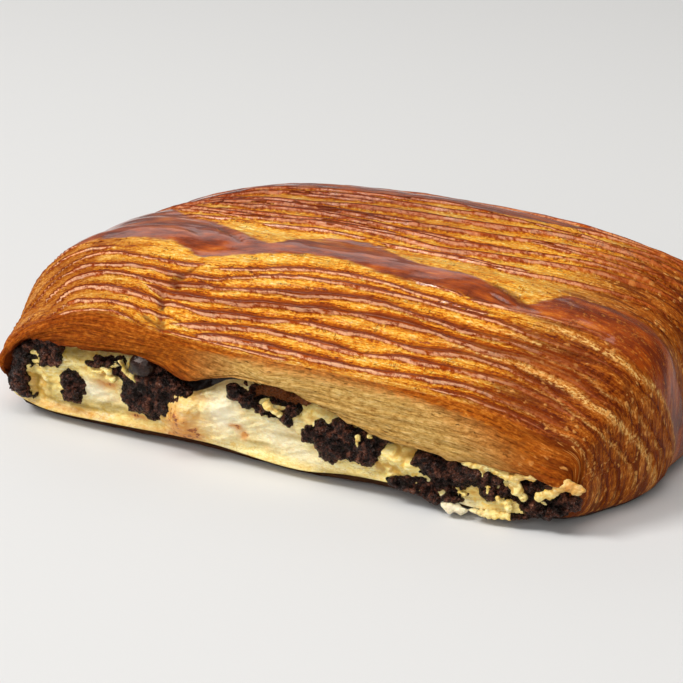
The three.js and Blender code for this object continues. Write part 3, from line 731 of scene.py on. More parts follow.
# presses the creases into the relief and marks them as negative streaks
def pressCreases(flow, topMask, relief, streak):
    for (u0, s0), (u1, s1), deep, wide in crust["creases"]:
        line = np.array([u1 - u0, s1 - s0], float)
        offset = flow - np.array([u0, s0])
        t = np.clip((offset @ line) / (line @ line), 0, 1)
        away = np.linalg.norm(offset - t[..., None] * line, axis=-1)
        fold = bell(away, wide) * np.sin(math.pi * np.clip(t * 0.9 + 0.05, 0, 1)) * topMask
        relief = relief - deep * fold
        streak = streak - fold
    return relief, streak


def pushedOut(points, relief):
    ahead = np.roll(points, -1, 0) - np.roll(points, 1, 0)
    beside = np.roll(points, -1, 1) - np.roll(points, 1, 1)
    normal = np.cross(beside, ahead)
    normal /= np.linalg.norm(normal, axis=-1, keepdims=True) + 1e-9
    if (normal[crust["rowsOver"] // 2, crust["columnsOver"] // 2][2]) < 0:
        normal = -normal
    points = points + normal * relief[..., None]
    points[..., 2] = np.maximum(points[..., 2], 0)
    return points


def crustPoints(zones, shares, across, places):
    over, wall, half = crust["columnsOver"], crust["columnsWall"], crust["columnsOver"] // 2
    top = outside(zones, shares, across[None, :])
    hole = cavity(zones, shares, np.linspace(1, -1, crust["columnsInside"])[None, :])
    back, front = wallPoints(top[:, -1], hole[:, 0], 1), wallPoints(top[:, 0], hole[:, -1], -1)
    points = softCorners(np.concatenate([top, back, hole, front[:, ::-1]], 1))
    lengths = [np.linalg.norm(top[:, 0] - hole[:, -1], axis=-1)[:, None],
               np.linalg.norm(top[:, -1] - hole[:, 0], axis=-1)[:, None]]
    flat = points.copy()
    underReach = np.where(zones[:, 0] == 2, crust["underRound"], 1.0)
    frontReach = mix(crust["roundFront"], crust["roundRight"], ease((top[:, 0, 0] - 22) / 36)) * underReach
    backReach = crust["roundBack"] * underReach
    down, spacing = wallSteps()[None, :], places[1]
    for line, lip, reach, distances, picked in (
            (top, hole[:, -1], frontReach, -places[None, :half], np.arange(half)),
            (top, hole[:, -1], frontReach, down[:, ::-1] * lengths[0], np.arange(-wall, 0)),
            (top[:, ::-1], hole[:, 0], backReach, places[None, half:] - places[-1], np.arange(half, over)),
            (top[:, ::-1], hole[:, 0], backReach, down * lengths[1], np.arange(over, over + wall))):
        roundShoulder(points, line, lip, reach, spacing, distances, picked)
    return flat, points, lengths


def makeCrust(material):
    zone, share, along = wrapRows()
    across, places = crossColumns()
    inTop, inBack, inFront, inHole = columnKinds()
    mesh, row, column = makeRing(zone.size, inTop.size)
    zones = zone[:, None]
    flat, points, lengths = crustPoints(zones, share[:, None], across, places)
    flow = ringFlow(zones, along, flat, places, *lengths)

    onTop = np.where(zones == 2, 0.0, 1.0)
    topMask = inTop[None, :] * onTop * ease((points[..., 2] - 0.6) / 4)
    wallMask = (inBack | inFront)[None, :] * np.ones(zones.shape)
    flowAcross = np.clip(flow[..., 1], 0, places[-1])
    fields = ridgeField(flow[..., 0].ravel(), flowAcross.ravel())
    edge, lean, ridges = (field.reshape(topMask.shape) for field in fields)
    glaze, streak = glazeField(flow[..., 0], flowAcross), streakField(flow[..., 0], flowAcross)
    ridges = ridges * (1 - glaze)
    # on the walls the second ridge value tells how near the lip is
    toLip = np.zeros(inTop.size)
    toLip[inFront], toLip[inBack] = wallSteps()[::-1], wallSteps()
    toLip[inHole] = 1
    lean = np.where(inTop[None, :], lean, toLip[None, :])
    edge = np.where(topMask > 0.02, edge, 3.0)
    relief = crustRelief(points, flow, zones, topMask, wallMask, ridges, glaze)
    relief, streak = pressCreases(flow, topMask, relief, streak)
    points = pushedOut(points, relief)

    mesh.vertices.foreach_set("co", (points[row, column] * mm).astype(np.float32).ravel())
    mesh.update()
    body = bmesh.new()
    body.from_mesh(mesh)
    bmesh.ops.recalc_face_normals(body, faces=body.faces)
    body.to_mesh(mesh)
    body.free()
    lifted = np.where(zones == 0, 0, baseLift(points[..., 0], points[..., 1]))
    baseMask = np.where(zones == 0, 0.0, 1.0)
    bare = (inBack | inFront | inHole)[None, :]
    for name, values in (("flow", (flow[..., 0], flow[..., 1], points[..., 2] - lifted)),
                         ("ridge", (edge, np.clip(lean, -3, 3), streak * topMask)),
                         ("zone", (glaze * topMask, bare, baseMask))):
        writeAttribute(mesh, name, joined(*values)[row, column])
    finishPiece("crust", mesh, material, ["brioche_dough"])


def crustPaint():
    paint = Paint("glazed_dough")
    step, blend = paint.step, paint.blend
    flow = paint.attribute("flow")
    flat = paint.node("ShaderNodeVectorMath", {"operation": "MULTIPLY"}, {0: flow, 1: (1, 1, 0)})
    edge, lean, streak = paint.parts(paint.attribute("ridge"))
    glaze, cut, base = paint.parts(paint.attribute("zone"))
    along, across, standing = paint.parts(flow)
    inMm = paint.place()

    def spread(sizes, shift, detail=3.0, roughness=0.6):
        return paint.noise(paint.stretched(flat, sizes, shift), detail, roughness)

    fibres = spread((3.2, 0.34, 1), (0, 0, 0), 4.0, 0.7)
    flecks = spread((0.95, 0.42, 1), (4, 9, 0), 3.0, 0.7)
    patches = spread((9, 3.4, 1), (1, 3, 0), 3.0, 0.55)
    wander = spread((4.2, 0.5, 1), (7, 2, 0))
    sweep = spread((17.0, 1.0, 1), (2, 6, 0), 2.0, 0.5)
    bars = spread((15.0, 1.7, 1), (8, 1, 0), 3.0, 0.5)
    gleams = spread((4.4, 1.3, 1), (3, 8, 0), 4.0, 0.65)
    tears = spread((0.55, 2.4, 1), (6, 5, 0), 2.0, 0.5)
    swirl = paint.node("ShaderNodeTexNoise", None, {"Vector": flat, "Scale": 0.7}, "Color")
    swirl = paint.node("ShaderNodeVectorMath", {"operation": "SCALE"}, {0: swirl, "Scale": 1.1})
    warped = paint.node("ShaderNodeVectorMath", {"operation": "ADD"},
                        {0: paint.stretched(flat, (1.9, 1.15, 1)), 1: swirl})
    drops = paint.node("ShaderNodeTexVoronoi", None, {"Vector": warped, "Scale": 1.0}, "Distance")
    dropColour = paint.node("ShaderNodeTexVoronoi", None, {"Vector": warped, "Scale": 1.0}, "Color")
    pick = paint.parts(dropColour)[0]

    ragged = (flecks - 0.5) * 0.5
    isBehind = step(lean, -0.2, 0.6)
    skin = 1 - step(edge + ragged * (1 + isBehind) + isBehind * 0.2,
                    -0.14 - isBehind * 0.4, 0.2 + isBehind * 0.6)
    shine = paint.clamped(paint.math("MAXIMUM", skin, glaze))

    # towards the ends the bake is darker; at the left end this darkening is also painted shade
    rightBake = step(along + (patches - 0.5) * 26, *crust["rightBake"])
    leftBakeAndShade = 1 - step(along + (patches - 0.5) * 20, *crust["leftBakeAndShade"])
    lowBake = 1 - step(across, *crust["lowBake"])

    # golden bands between the ridges, darker towards the ridge in front of them
    nearSkin = 1 - step(edge + ragged, -0.1, 1.5)
    crumbTone = (fibres * 0.4 + flecks * 0.6 - 0.5) * 2.3 + (patches - 0.5) * 0.8 + 0.53
    crumbTone = crumbTone - nearSkin * (isBehind * 0.26 + 0.08)
    gold = paint.ramp(crumbTone, crust["gold"])
    thin = paint.seams(sweep, 0.004, 0.03) * step(flecks, 0.35, 0.6)
    gold = blend(thin * 0.7, gold, srgb(134, 50, 4))
    cracks = paint.seams(tears, 0.004, 0.035) * step(gleams, 0.54, 0.62)
    gold = blend(cracks * 0.75, gold, srgb(110, 44, 6))
    bake = paint.clamped(rightBake * 0.95 + leftBakeAndShade * 0.8 + lowBake * 0.35)
    gold = blend(bake * 0.92, gold, paint.ramp(crumbTone, crust["browned"]))
    gold = blend(step(bars, 0.5, 0.6) * rightBake * 0.75, gold, srgb(96, 28, 2))
    pale = streak * step(flecks * 1.2 + gleams * 0.6 + (0.5 - drops) * 0.4, 0.66, 1.0)
    stretchedSkin = blend(step(flecks, 0.45, 0.62), srgb(226, 150, 62), srgb(255, 212, 132))
    gold = blend(pale * 0.85, gold, stretchedSkin)
    # pale blisters in rows, mostly over the browned right end and low on the front
    dotZone = paint.clamped(rightBake + lowBake * step(along, 20.0, 34.0) + 0.25)
    dots = (1 - step(drops, 0.2, 0.4)) * step(pick + (bars - 0.5) * 1.2, 0.56, 0.66) * dotZone
    gold = blend(dots * 0.75, gold, srgb(240, 168, 88))

    # dark glazed skin: a painted highlight on the front flank, painted shade behind it, a brown line below
    skinTone = paint.gain(wander * 0.35 + patches * 0.3 + flecks * 0.35, 2.2)
    skinColour = paint.ramp(skinTone, crust["skin"])
    shade = step(lean, -0.5, -0.2) * (1 - step(lean, 0.1, 0.9))
    shade = shade * step(wander + patches, 0.6, 0.95)
    skinColour = blend(shade * 0.75, skinColour, srgb(84, 24, 3))
    sway = lean + (wander - 0.5) * 0.7
    # painted highlight: a pale band along the front flank of the ridges
    paintedGleam = step(sway, -0.95, -0.75) * (1 - step(sway, -0.58, -0.36))
    paintedGleam = paintedGleam * step(gleams + (flecks - 0.5) * 0.7, 0.34, 0.56) * (1 - rightBake * 0.85)
    paintedGleam = paintedGleam * (1 - step(across, 26.0, 44.0) * 0.45)
    skinColour = blend(paintedGleam * 0.85, skinColour, srgb(255, 196, 150))
    # a brown line at the front foot of the ridge, darkened as painted shade in the groove there
    under = (1 - step(lean, -1.25, -1.0)) * step(patches, 0.36, 0.52)
    skinColour = blend(under * 0.85, skinColour, srgb(104, 34, 4))
    glazeColour = paint.ramp(paint.gain(fibres * 0.3 + patches * 0.7, 2.0), crust["glaze"])
    crumbly = step(flecks * 0.6 + gleams * 0.4, 0.52, 0.62) * step(along, 30.0, 60.0)
    glazeColour = blend(crumbly * 0.55, glazeColour, srgb(220, 138, 52))
    top = blend(skin * (1 - rightBake * 0.35), gold, skinColour)
    # painted shade: the far side towards the left is darker
    farLeftShade = step(across, 36.0, 54.0) * (1 - step(along, 0.0, 44.0))
    top = blend(farLeftShade * 0.9, top, srgb(216, 196, 190), "MULTIPLY")
    top = blend(glaze * (1 - skin * 0.5), top, glazeColour)
    fold = step(0 - streak + (flecks - 0.5) * 0.5, 0.25, 0.8)
    top = blend(fold * 0.7, top, srgb(96, 34, 8))

    # cut walls: pale layers, browner by the shoulder; darker at the ends, partly browner bake and partly
    # painted shade; painted shade along the lip
    layers = spread((5.0, 0.6, 1), (3, 0, 0), 4.0, 0.62)
    strands = spread((1.5, 0.26, 1), (9, 4, 0))
    crumb = paint.noise(paint.stretched(inMm, (1.0, 1.0, 0.7)), 4.0, 0.65)
    cutTone = paint.gain(layers * 0.3 + strands * 0.3 + crumb * 0.4, 2.8) - 0.1
    nearTop = step(across + (crumb - 0.5) * 2.0, -3.4, -0.4)
    paleSpan = step(along, -20.0, 0.0) * (1 - step(along + across * 1.6, 20.0, 48.0))
    brownShare = paint.clamped(1 - paleSpan + nearTop * 0.8 + (crumb - 0.5) * 0.5)
    cutColour = blend(brownShare, paint.ramp(cutTone, crust["wall"]),
                      paint.ramp(cutTone, crust["toasted"]))
    cutColour = blend(1.0, cutColour, srgb(244, 232, 224), "MULTIPLY")
    # darker towards both ends of the wall: partly browner bake, partly painted shade
    endsBakeAndShade = (1 - step(along, -44.0, -22.0)) * 0.3 + step(along - across, 56.0, 80.0) * 0.4
    cutColour = blend(paint.clamped(endsBakeAndShade), cutColour, srgb(196, 132, 70), "MULTIPLY")
    # painted shade along the lip, where it overhangs the cavity
    lipShade = step(lean + (crumb - 0.5) * 0.3, 0.78, 1.0)
    cutColour = blend(lipShade * (0.75 - paleSpan * 0.45), cutColour, srgb(170, 116, 70), "MULTIPLY")
    # dark slits: painted shade in the thin holes of the crumb, which are also pressed in
    slits = step(spread((2.8, 0.24, 1), (5, 5, 0), 2.0, 0.5), 0.66, 0.72)
    cutColour = blend(slits * 0.75, cutColour, srgb(78, 44, 14))
    scorched = 1 - step(along + (crumb - 0.5) * 3, -57.0, -51.0)
    scorched = scorched * (1 - step(standing, 6.0, 11.0))
    cutColour = blend(scorched * 0.95, cutColour, srgb(70, 32, 12))
    # the right end is closed, its wall looks like the top
    closed = step(along - across * 0.5 + (patches - 0.5) * 10, 48.0, 64.0)
    body = blend(cut * (1 - closed), top, cutColour)
    # mottled underside, with a dark baked edge round it
    mottle = paint.noise(paint.stretched(inMm, (5, 5, 5)), 5.0, 0.6)
    rim = base * (1 - step(across, -0.6, 0.6)) * step(across, -30.0, -29.0)
    baked = 1 - step(standing + (crumb - 0.5) * 1.2 - (1 - base) * 1.6 - rim * 1.6, 0.9, 1.5)
    body = blend(baked * 0.94, body, srgb(34, 15, 8))
    isUnder = base * (1 - cut) * (1 - step(standing, 0.12, 0.5))
    body = blend(isUnder, body, paint.ramp(mottle, crust["underside"]))

    wet = glaze * (0.9 - skin * 0.2) + skin * (0.05 + paintedGleam * 0.8)
    dull = 1 - step(along, 56.0, 76.0) * 0.75
    dull = dull * (1 - step(across, 28.0, 42.0) * (1 - glaze) * 0.7)
    rough = 0.52 - shine * 0.18 + cut * 0.25 + (flecks - 0.5) * 0.25
    fine = (flecks * 0.6 + fibres * 0.4 + (0.5 - drops) * dots) * (1 - shine * 0.8) * (1 - cut)
    relief = fine + (strands + layers) * cut * 0.8 - slits * cut - cracks * 0.3 * (1 - cut)
    relief = relief + wander * shine * 0.12 + fibres * glaze * 0.25
    coat = paint.clamped((0.04 + wet * 0.85) * (1 - cut) * dull)
    return paint.finish({
        "Base Color": body, "Roughness": paint.clamped(rough), "Normal": paint.bump(relief, 0.55 * mm),
        "Coat Weight": coat, "Coat Roughness": 0.13, "Coat IOR": 1.5,
        "Specular IOR Level": 0.17, "Specular Tint": (1.0, 0.6, 0.35, 1.0),
        "Subsurface Weight": 0.05, "Subsurface Radius": (1.0, 0.4, 0.15), "Subsurface Scale": 0.0012})


makeCrust(crustPaint())

# The filling, cream and chocolate, runs through the pastry from cut to cut.
cream = {
    "columns": 400, "rows": 60, "face": 39.9, "relief": 0.7, "seed": 23,
    # curds: size and height
    "curds": [(3.1, 1.9), (1.5, 0.9)],
    # how curdled the faces are, and where the front is more so: x, z, spread in both, share
    "curdledFront": 0.22, "curdledBack": 0.75,
    "curdled": [(-56, 9, 4.5, 4.5, 1), (26, 9.5, 4.5, 4, 1), (-14, 12.5, 3.4, 2.6, 1),
                (-37, 13, 3.4, 2.2, 1), (6, 12, 2.4, 1.6, 1), (30, 3.6, 4, 1, 1), (49, 4, 5, 3, 1)],
    "fringe": 1.8, "recess": 3.0, "smearFace": 40.9,
    # where the cream stands up to the lip: x, spread
    "mound": (-9.5, 3.6),
    # height of the gap under the front lip, painted as a black shadow (x, mm), and the reach of x that it
    # follows
    "gap": [(-34, 0), (-30, 2.4), (-26, 4.4), (-21, 3.8), (-16, 3.2), (-12, 2.6), (-9, 2), (-5, 2.5),
            (0, 2), (6, 0)],
    "gapReach": (-34, 5),
    # bulges and hollows of the front face: x, z, spread in both, mm
    "bulges": [(-17.6, 8.4, 2.5, 3.2, 3), (-9, 8, 3, 4, 0.6), (28.4, 9.2, 2.8, 3, 1.9),
               (-50, 10, 2.5, 3.5, 0.8), (3, 16, 6, 2.4, -2.6), (-9.5, 11, 3.6, 4, 0.9)],
    # colours from dark to light: position and red, green, blue
    "tones": [(0.05, (214, 154, 62)), (0.28, (240, 200, 104)), (0.5, (251, 226, 140)),
              (0.72, (254, 238, 176)), (0.95, (255, 250, 226))],
    # browned and pale patches, and olive lines of painted shade along the crevices: x, z, spread in both,
    # strength
    "browned": [(-18.4, 7.2, 3.4, 3, 1.15), (-5.9, 8.1, 0.5, 0.5, 1.5), (-5, 6.6, 0.55, 0.6, 1.5),
                (-7.2, 8.6, 0.4, 0.3, 1.2), (-36.5, 10.8, 1.8, 0.6, 1.4), (-29.5, 5.4, 1.6, 0.4, 1.2),
                (-51.4, 13.4, 1, 0.8, 0.8), (53, 10.8, 2, 1, 0.4), (60.6, 10, 2, 1.6, 0.9),
                (-43.4, 9.9, 0.8, 0.9, 0.9), (-46, 3.4, 9, 0.7, 0.7), (-17, 4.8, 2.2, 1.6, 0.8),
                (-24, 3.4, 5, 0.6, 0.6)],
    "pale": [(-9, 11, 3, 4, 1), (2, 8, 5, 2.4, 0.8), (-37, 8, 3.5, 1.4, 0.6), (9, 5, 4, 1.2, 0.6),
             (39.1, 1.6, 3, 1, 1.6), (-41, 9.4, 2.4, 1.6, 0.8)],
    "oliveShadeAndTint": [(-44, 5, 6.5, 0.4, 1.3), (-22, 3, 3.5, 0.3, 0.8), (-2, 5.6, 2.6, 0.35, 0.9),
              (20, 3.6, 3, 0.3, 0.8), (-54.4, 9, 0.6, 2.2, 0.9), (-36, 6.2, 4.5, 0.45, 1.2),
              (-50.3, 8, 0.8, 1.8, 0.9), (-12, 15.4, 2.4, 1, 0.7), (5, 8.4, 3.4, 0.4, 0.8),
              (14, 3.2, 3.5, 0.4, 0.7), (-46, 15.4, 3.5, 0.7, 1), (33, 13, 2, 0.8, 0.6)],
    # smears of cream on the chocolate: from x, z, to x, z, radius at both ends
    "bits": [(41.6, 11.3, 45.6, 11, 0.7, 0.8), (45.6, 11, 49.4, 10.4, 0.8, 0.6),
             (44.9, 11, 44.9, 9.5, 0.7, 0.5), (45.8, 7.4, 45.9, 6.6, 0.55, 0.5),
             (49.2, 9.9, 53.9, 10.9, 0.75, 0.9), (50.4, 9.6, 51.2, 7.3, 1, 0.55),
             (52.3, 6.6, 52.5, 6.2, 0.5, 0.4), (55, 7, 57.6, 8.4, 0.55, 0.8),
             (57.6, 8.4, 60, 9.9, 0.8, 0.95), (60, 9.9, 62.1, 9.4, 0.95, 0.8),
             (47.8, 5.6, 48.3, 4.8, 0.5, 0.55), (49.4, 5, 50, 3.7, 0.6, 0.5),
             (43.2, 2.4, 43.6, 2, 0.75, 0.7), (44.4, 1.9, 47.2, 2.3, 0.6, 0.6),
             (47.2, 2.3, 49.8, 2.2, 0.6, 0.4), (40, 5.3, 41.5, 5.1, 0.35, 0.5),
             (37.2, 2.2, 39, 1.9, 0.6, 0.9), (39, 1.9, 41.4, 1.6, 0.9, 0.6),
             (0.4, 14.3, 1.8, 13.8, 0.35, 0.55), (2.5, 13.3, 3.9, 12.8, 0.55, 0.4),
             (20, 12, 20.3, 10, 0.4, 0.3), (22.2, 12.6, 22.7, 12, 0.5, 0.4),
             (-32, 17, -31.3, 15.4, 0.3, 0.35), (-31, 15, -28.8, 13.4, 0.3, 0.35),
             (-27, 14.6, -26.4, 13.4, 0.35, 0.3), (-38.6, 13.6, -36.6, 13.9, 0.45, 0.4),
             (-36, 14.6, -34.8, 13.9, 0.35, 0.3), (-35.6, 13.2, -34, 12.8, 0.5, 0.35),
             (-18.4, 10.8, -20.6, 7.6, 1.2, 1.2)],
}


def cavityHeights(x, side):
    reach = np.where(x > 0, cavitySize["right"], cavitySize["left"])
    cosine = np.clip(np.abs(x) / reach, 0, 1) ** (form["cavityEnd"][0] / 2)
    sine = np.sqrt(1 - cosine**2)
    bulge = cavitySize["bulge"]
    high = bulge + (lipHeight(x) - bulge) * sine ** (2 / form["cavityEnd"][1])
    high = high + waves(form["frontLip"] if side < 0 else form["backLip"], x) * ease((high - 9) / 6)
    inward = np.clip((reach - np.abs(x)) / form["cavityCorner"], 0, 1)
    bottom = baseLift(x, np.full(x.shape, side * halfWidth)) + cream["fringe"]
    low = mix(bulge, bottom, np.sqrt(1 - (1 - inward) ** 2))
    return low, high


# distance to the nearest of scattered points, about one per cell of the given size
def cells(points, size, seed):
    scaled = points / size
    base = np.floor(scaled).astype(np.int64)
    table = np.random.default_rng(seed).uniform(0, 1, (8192, 3))
    nearest = np.full(len(points), 9.0)
    for step in np.ndindex(3, 3, 3):
        cell = base + np.array(step) - 1
        jitter = table[(cell @ [1, 1579, 6121]) % 8192]
        nearest = np.minimum(nearest, np.linalg.norm(cell + jitter - scaled, axis=-1))
    return nearest


# how far out a face of the cream is, how deep between the curds, where shade is painted, and whether in the
# gap under the lip, which is painted as shadow
def creamFace(x, z, side):
    spot = joined(x, 50.0 * side, z)
    low, high = cavityHeights(x, side)
    out = cream["face"] + cream["relief"] * (noise(spot, 9, 41) + 0.5 * noise(spot, 4.6, 42))
    inFront = side < 0
    curdled = cream["curdledFront"] + hills(cream["curdled"], x, z) if inFront else cream["curdledBack"]
    curdled = np.clip(curdled, 0, 1) * ease((z - low - 0.2) / 2.4)
    crease = 0
    for number, (size, rise) in enumerate(cream["curds"]):
        drift = 0.5 * size * joined(noise(spot, size, 55 + number), 0, noise(spot, size, 59 + number))
        away = cells((spot + drift) / [1.1, 1, 0.85], size, 61 + number)
        out = out + rise * (0.5 - away) * curdled
        crease = crease + np.clip(away - 0.45, 0, 1) * curdled
    out = out + 0.2 * noise(spot, 1.3, 43) + 0.1 * noise(spot, 0.7, 44)
    # torn strands where the face is smooth
    strands = noise(joined(x + 0.5 * z, z - 0.35 * x) / [3.4, 0.6], 1.0, 45)
    out = out + 0.3 * strands * (1 - curdled) * ease((z - low) / 2)
    at, spread = cream["mound"]
    standing = bell(x - at, spread) if inFront else 0
    followed = np.clip(x, *cream["gapReach"])
    gap = through(cream["gap"], followed) if inFront else 1.0 + noise(spot, 7.0, 46)
    sunken = ease((z - high + 3.4) / 3.4) * (1 - 0.6 * standing) * (1 - 0.4 * ease(gap))
    out = out - cream["recess"] * sunken - 1.2 * ease((z - high + gap + 0.5) / 0.9) * ease(gap)
    if inFront:
        out = out + hills(cream["bulges"], x, z)
    out = mix(cream["face"] + 0.4, out, ease((z - low + 0.3) / 2.2))
    return out, crease, ease((z - high + gap) / 0.7) * ease(gap * 2)


def creamMesh():
    count, rows = cream["columns"], cream["rows"]
    body = bmesh.new()
    loops = []
    for side in (-1, 1):
        made = bmesh.ops.create_grid(body, x_segments=count, y_segments=rows, size=1)
        verts = made["verts"]
        share = np.array([v.co[:2] for v in verts])
        x = mix(-cavitySize["left"] + 0.45, cavitySize["right"] - 0.45, (share[:, 0] + 1) / 2)
        low, high = cavityHeights(x, side)
        z = mix(low, np.maximum(high - 0.25, low + 0.2), (share[:, 1] + 1) / 2)
        x = x + 0.12 * noise(joined(x, z), 0.8, 47)
        y = drawIn(x, side * creamFace(x, z, side)[0])
        for vert, place in zip(verts, joined(x, y, z) * mm):
            vert.co = place
        inGrid = set(verts)
        loops.append([edge for edge in body.edges if edge.is_boundary and edge.verts[0] in inGrid])
    bmesh.ops.bridge_loops(body, edges=loops[0] + loops[1])
    bmesh.ops.recalc_face_normals(body, faces=body.faces)
    mesh = bpy.data.meshes.new("cream")
    body.to_mesh(mesh)
    body.free()
    return mesh


def vertexPlaces(mesh):
    return vertexValues(mesh, "co") / mm


def setPlaces(mesh, points):
    mesh.vertices.foreach_set("co", (points * mm).astype(np.float32).ravel())
    mesh.update()


def addBall(body, x, y, z, wide, deep, high):
    made = bmesh.ops.create_icosphere(body, subdivisions=3, radius=1)
    bmesh.ops.scale(body, verts=made["verts"], vec=(wide * mm, deep * mm, high * mm))
    bmesh.ops.translate(body, verts=made["verts"], vec=(x * mm, float(drawIn(x, y)) * mm, z * mm))


# fuses the balls and solids of a body into one skin of even faces
def remeshed(body, name, voxel):
    mesh = bpy.data.meshes.new(name)
    body.to_mesh(mesh)
    body.free()
    carrier = bpy.data.objects.new("carrier", mesh)
    bpy.context.scene.collection.objects.link(carrier)
    remesh = carrier.modifiers.new("remesh", "REMESH")
    remesh.mode, remesh.voxel_size = "VOXEL", voxel * mm
    depsgraph = bpy.context.evaluated_depsgraph_get()
    shaped = bpy.data.meshes.new_from_object(carrier.evaluated_get(depsgraph))
    bpy.data.objects.remove(carrier)
    return vertexPlaces(shaped), shaped


# browned and pale shares, and olive painted shade: from the patches in front, seeded olive patches at the
# back
def stainMasks(points):
    x, y, z = points.T
    return joined(*(np.where(y < 0, hills(cream[key], x, z), 0.4 * noise(points, 9.0, 60 + number) ** 2)
                    for number, key in enumerate(("browned", "pale", "oliveShadeAndTint"))))


# how deep between the curds a point lies, where shade is painted, and whether it is in the gap under the
# lip, which is painted as shadow
def creaseMasks(points):
    masks = np.zeros((len(points), 3))
    for side in (-1, 1):
        here = points[:, 1] * side > 0
        masks[here, :2] = joined(*creamFace(points[here, 0], points[here, 2], side)[1:])
    return masks


def creamPaint():
    paint = Paint("cream")
    step, blend = paint.step, paint.blend
    inMm = paint.place()
    brown, pale, oliveShadeAndTint = paint.parts(paint.attribute("stain"))
    crease, gap = paint.parts(paint.attribute("crease"))[:2]
    lumps = paint.noise(paint.stretched(inMm, (3.2, 3.2, 2.2)), 4.0, 0.6)
    grains = paint.noise(paint.stretched(inMm, (0.7, 0.7, 0.5)), 3.0, 0.65)
    blotches = paint.noise(paint.stretched(inMm, (1.6, 1.6, 1.2), (3, 1, 4)), 3.0, 0.6)
    threads = paint.noise(paint.stretched(inMm, (3.4, 3.4, 0.5), (2, 2, 2)), 3.0, 0.6)
    mixed = paint.gain(lumps * 0.35 + grains * 0.35 + threads * 0.3, 2.4)
    tone = paint.ramp(mixed, cream["tones"])
    tone = blend(step(blotches, 0.57, 0.68) * 0.75, tone, srgb(240, 192, 52))
    seams = paint.seams(threads, 0.006, 0.03) * step(lumps, 0.46, 0.58)
    tone = blend(seams * 0.6, tone, srgb(186, 134, 40))
    # painted shade in the creases between the curds
    creaseShade = step(crease + (grains - 0.5) * 0.3, 0.14, 0.42)
    tone = blend(creaseShade * 0.75, tone, srgb(206, 150, 40))
    tone = blend(paint.clamped(pale * (0.5 + grains)) * 0.75, tone, srgb(248, 240, 214))
    # olive painted shade along the crevices in front, seeded olive patches at the back
    tone = blend(paint.clamped(oliveShadeAndTint * (0.4 + blotches)) * 0.85, tone, srgb(150, 120, 28))
    toast = paint.clamped(brown * (paint.gain(blotches, 2.0) + 0.4))
    tone = blend(toast * 0.9, tone, srgb(216, 140, 54))
    dark = step(toast * paint.gain(blotches * 0.5 + grains * 0.5, 2.4), 0.6, 0.7)
    tone = blend(dark * 0.85, tone, srgb(132, 52, 16))
    # painted shadow: the cream in the gap under the front lip is near black
    tone = blend(step(gap + (grains - 0.5) * 0.4, 0.3, 0.6), tone, srgb(22, 11, 7))
    normal = paint.bump(grains * 0.7 + blotches * 0.5, 0.4 * mm)
    return paint.finish({
        "Base Color": tone, "Roughness": 0.42 + (grains - 0.5) * 0.3, "Normal": normal,
        "Subsurface Weight": 0.15, "Subsurface Radius": (1.0, 0.7, 0.3), "Subsurface Scale": 0.0009})


def makeCream(material):
    mesh = creamMesh()
    writeAttribute(mesh, "stain", stainMasks(vertexPlaces(mesh)))
    writeAttribute(mesh, "crease", creaseMasks(vertexPlaces(mesh)))
    finishPiece("cream", mesh, material, ["pastry_cream"])
    random = np.random.default_rng(cream["seed"])
    bits = bmesh.new()
    for x0, z0, x1, z1, radius0, radius1 in cream["bits"]:
        count = 3 + int(math.hypot(x1 - x0, z1 - z0) / (0.5 * min(radius0, radius1)))
        for share in np.linspace(0, 1, count):
            radius = mix(radius0, radius1, share)
            x, z = mix(x0, x1, share), mix(z0, z1, share) + random.uniform(-0.45, 0.45) * radius
            wide, high = radius * random.uniform(0.7, 1.5), radius * random.uniform(0.5, 1.2)
            addBall(bits, x, -cream["smearFace"], z, wide, random.uniform(0.7, 1.0), high)
    points, mesh = remeshed(bits, "cream_bits", 0.22)
    depth = 0.4 * noise(points, 1.5, 51) + 0.25 * (0.5 - cells(points, 1.1, 52))
    depth = depth + 0.2 * noise(points, 0.6, 53)
    setPlaces(mesh, points + vertexValues(mesh, "normal") * depth[:, None])
    writeAttribute(mesh, "stain", stainMasks(points))
    masks = np.zeros((len(points), 3))
    # depth between the crumbs of the smears, painted as shade through the crease value
    masks[:, 0] = np.clip(cells(points, 0.9, 52) - 0.4, 0, 1)
    writeAttribute(mesh, "crease", masks)
    finishPiece("cream_bits", mesh, material, [])


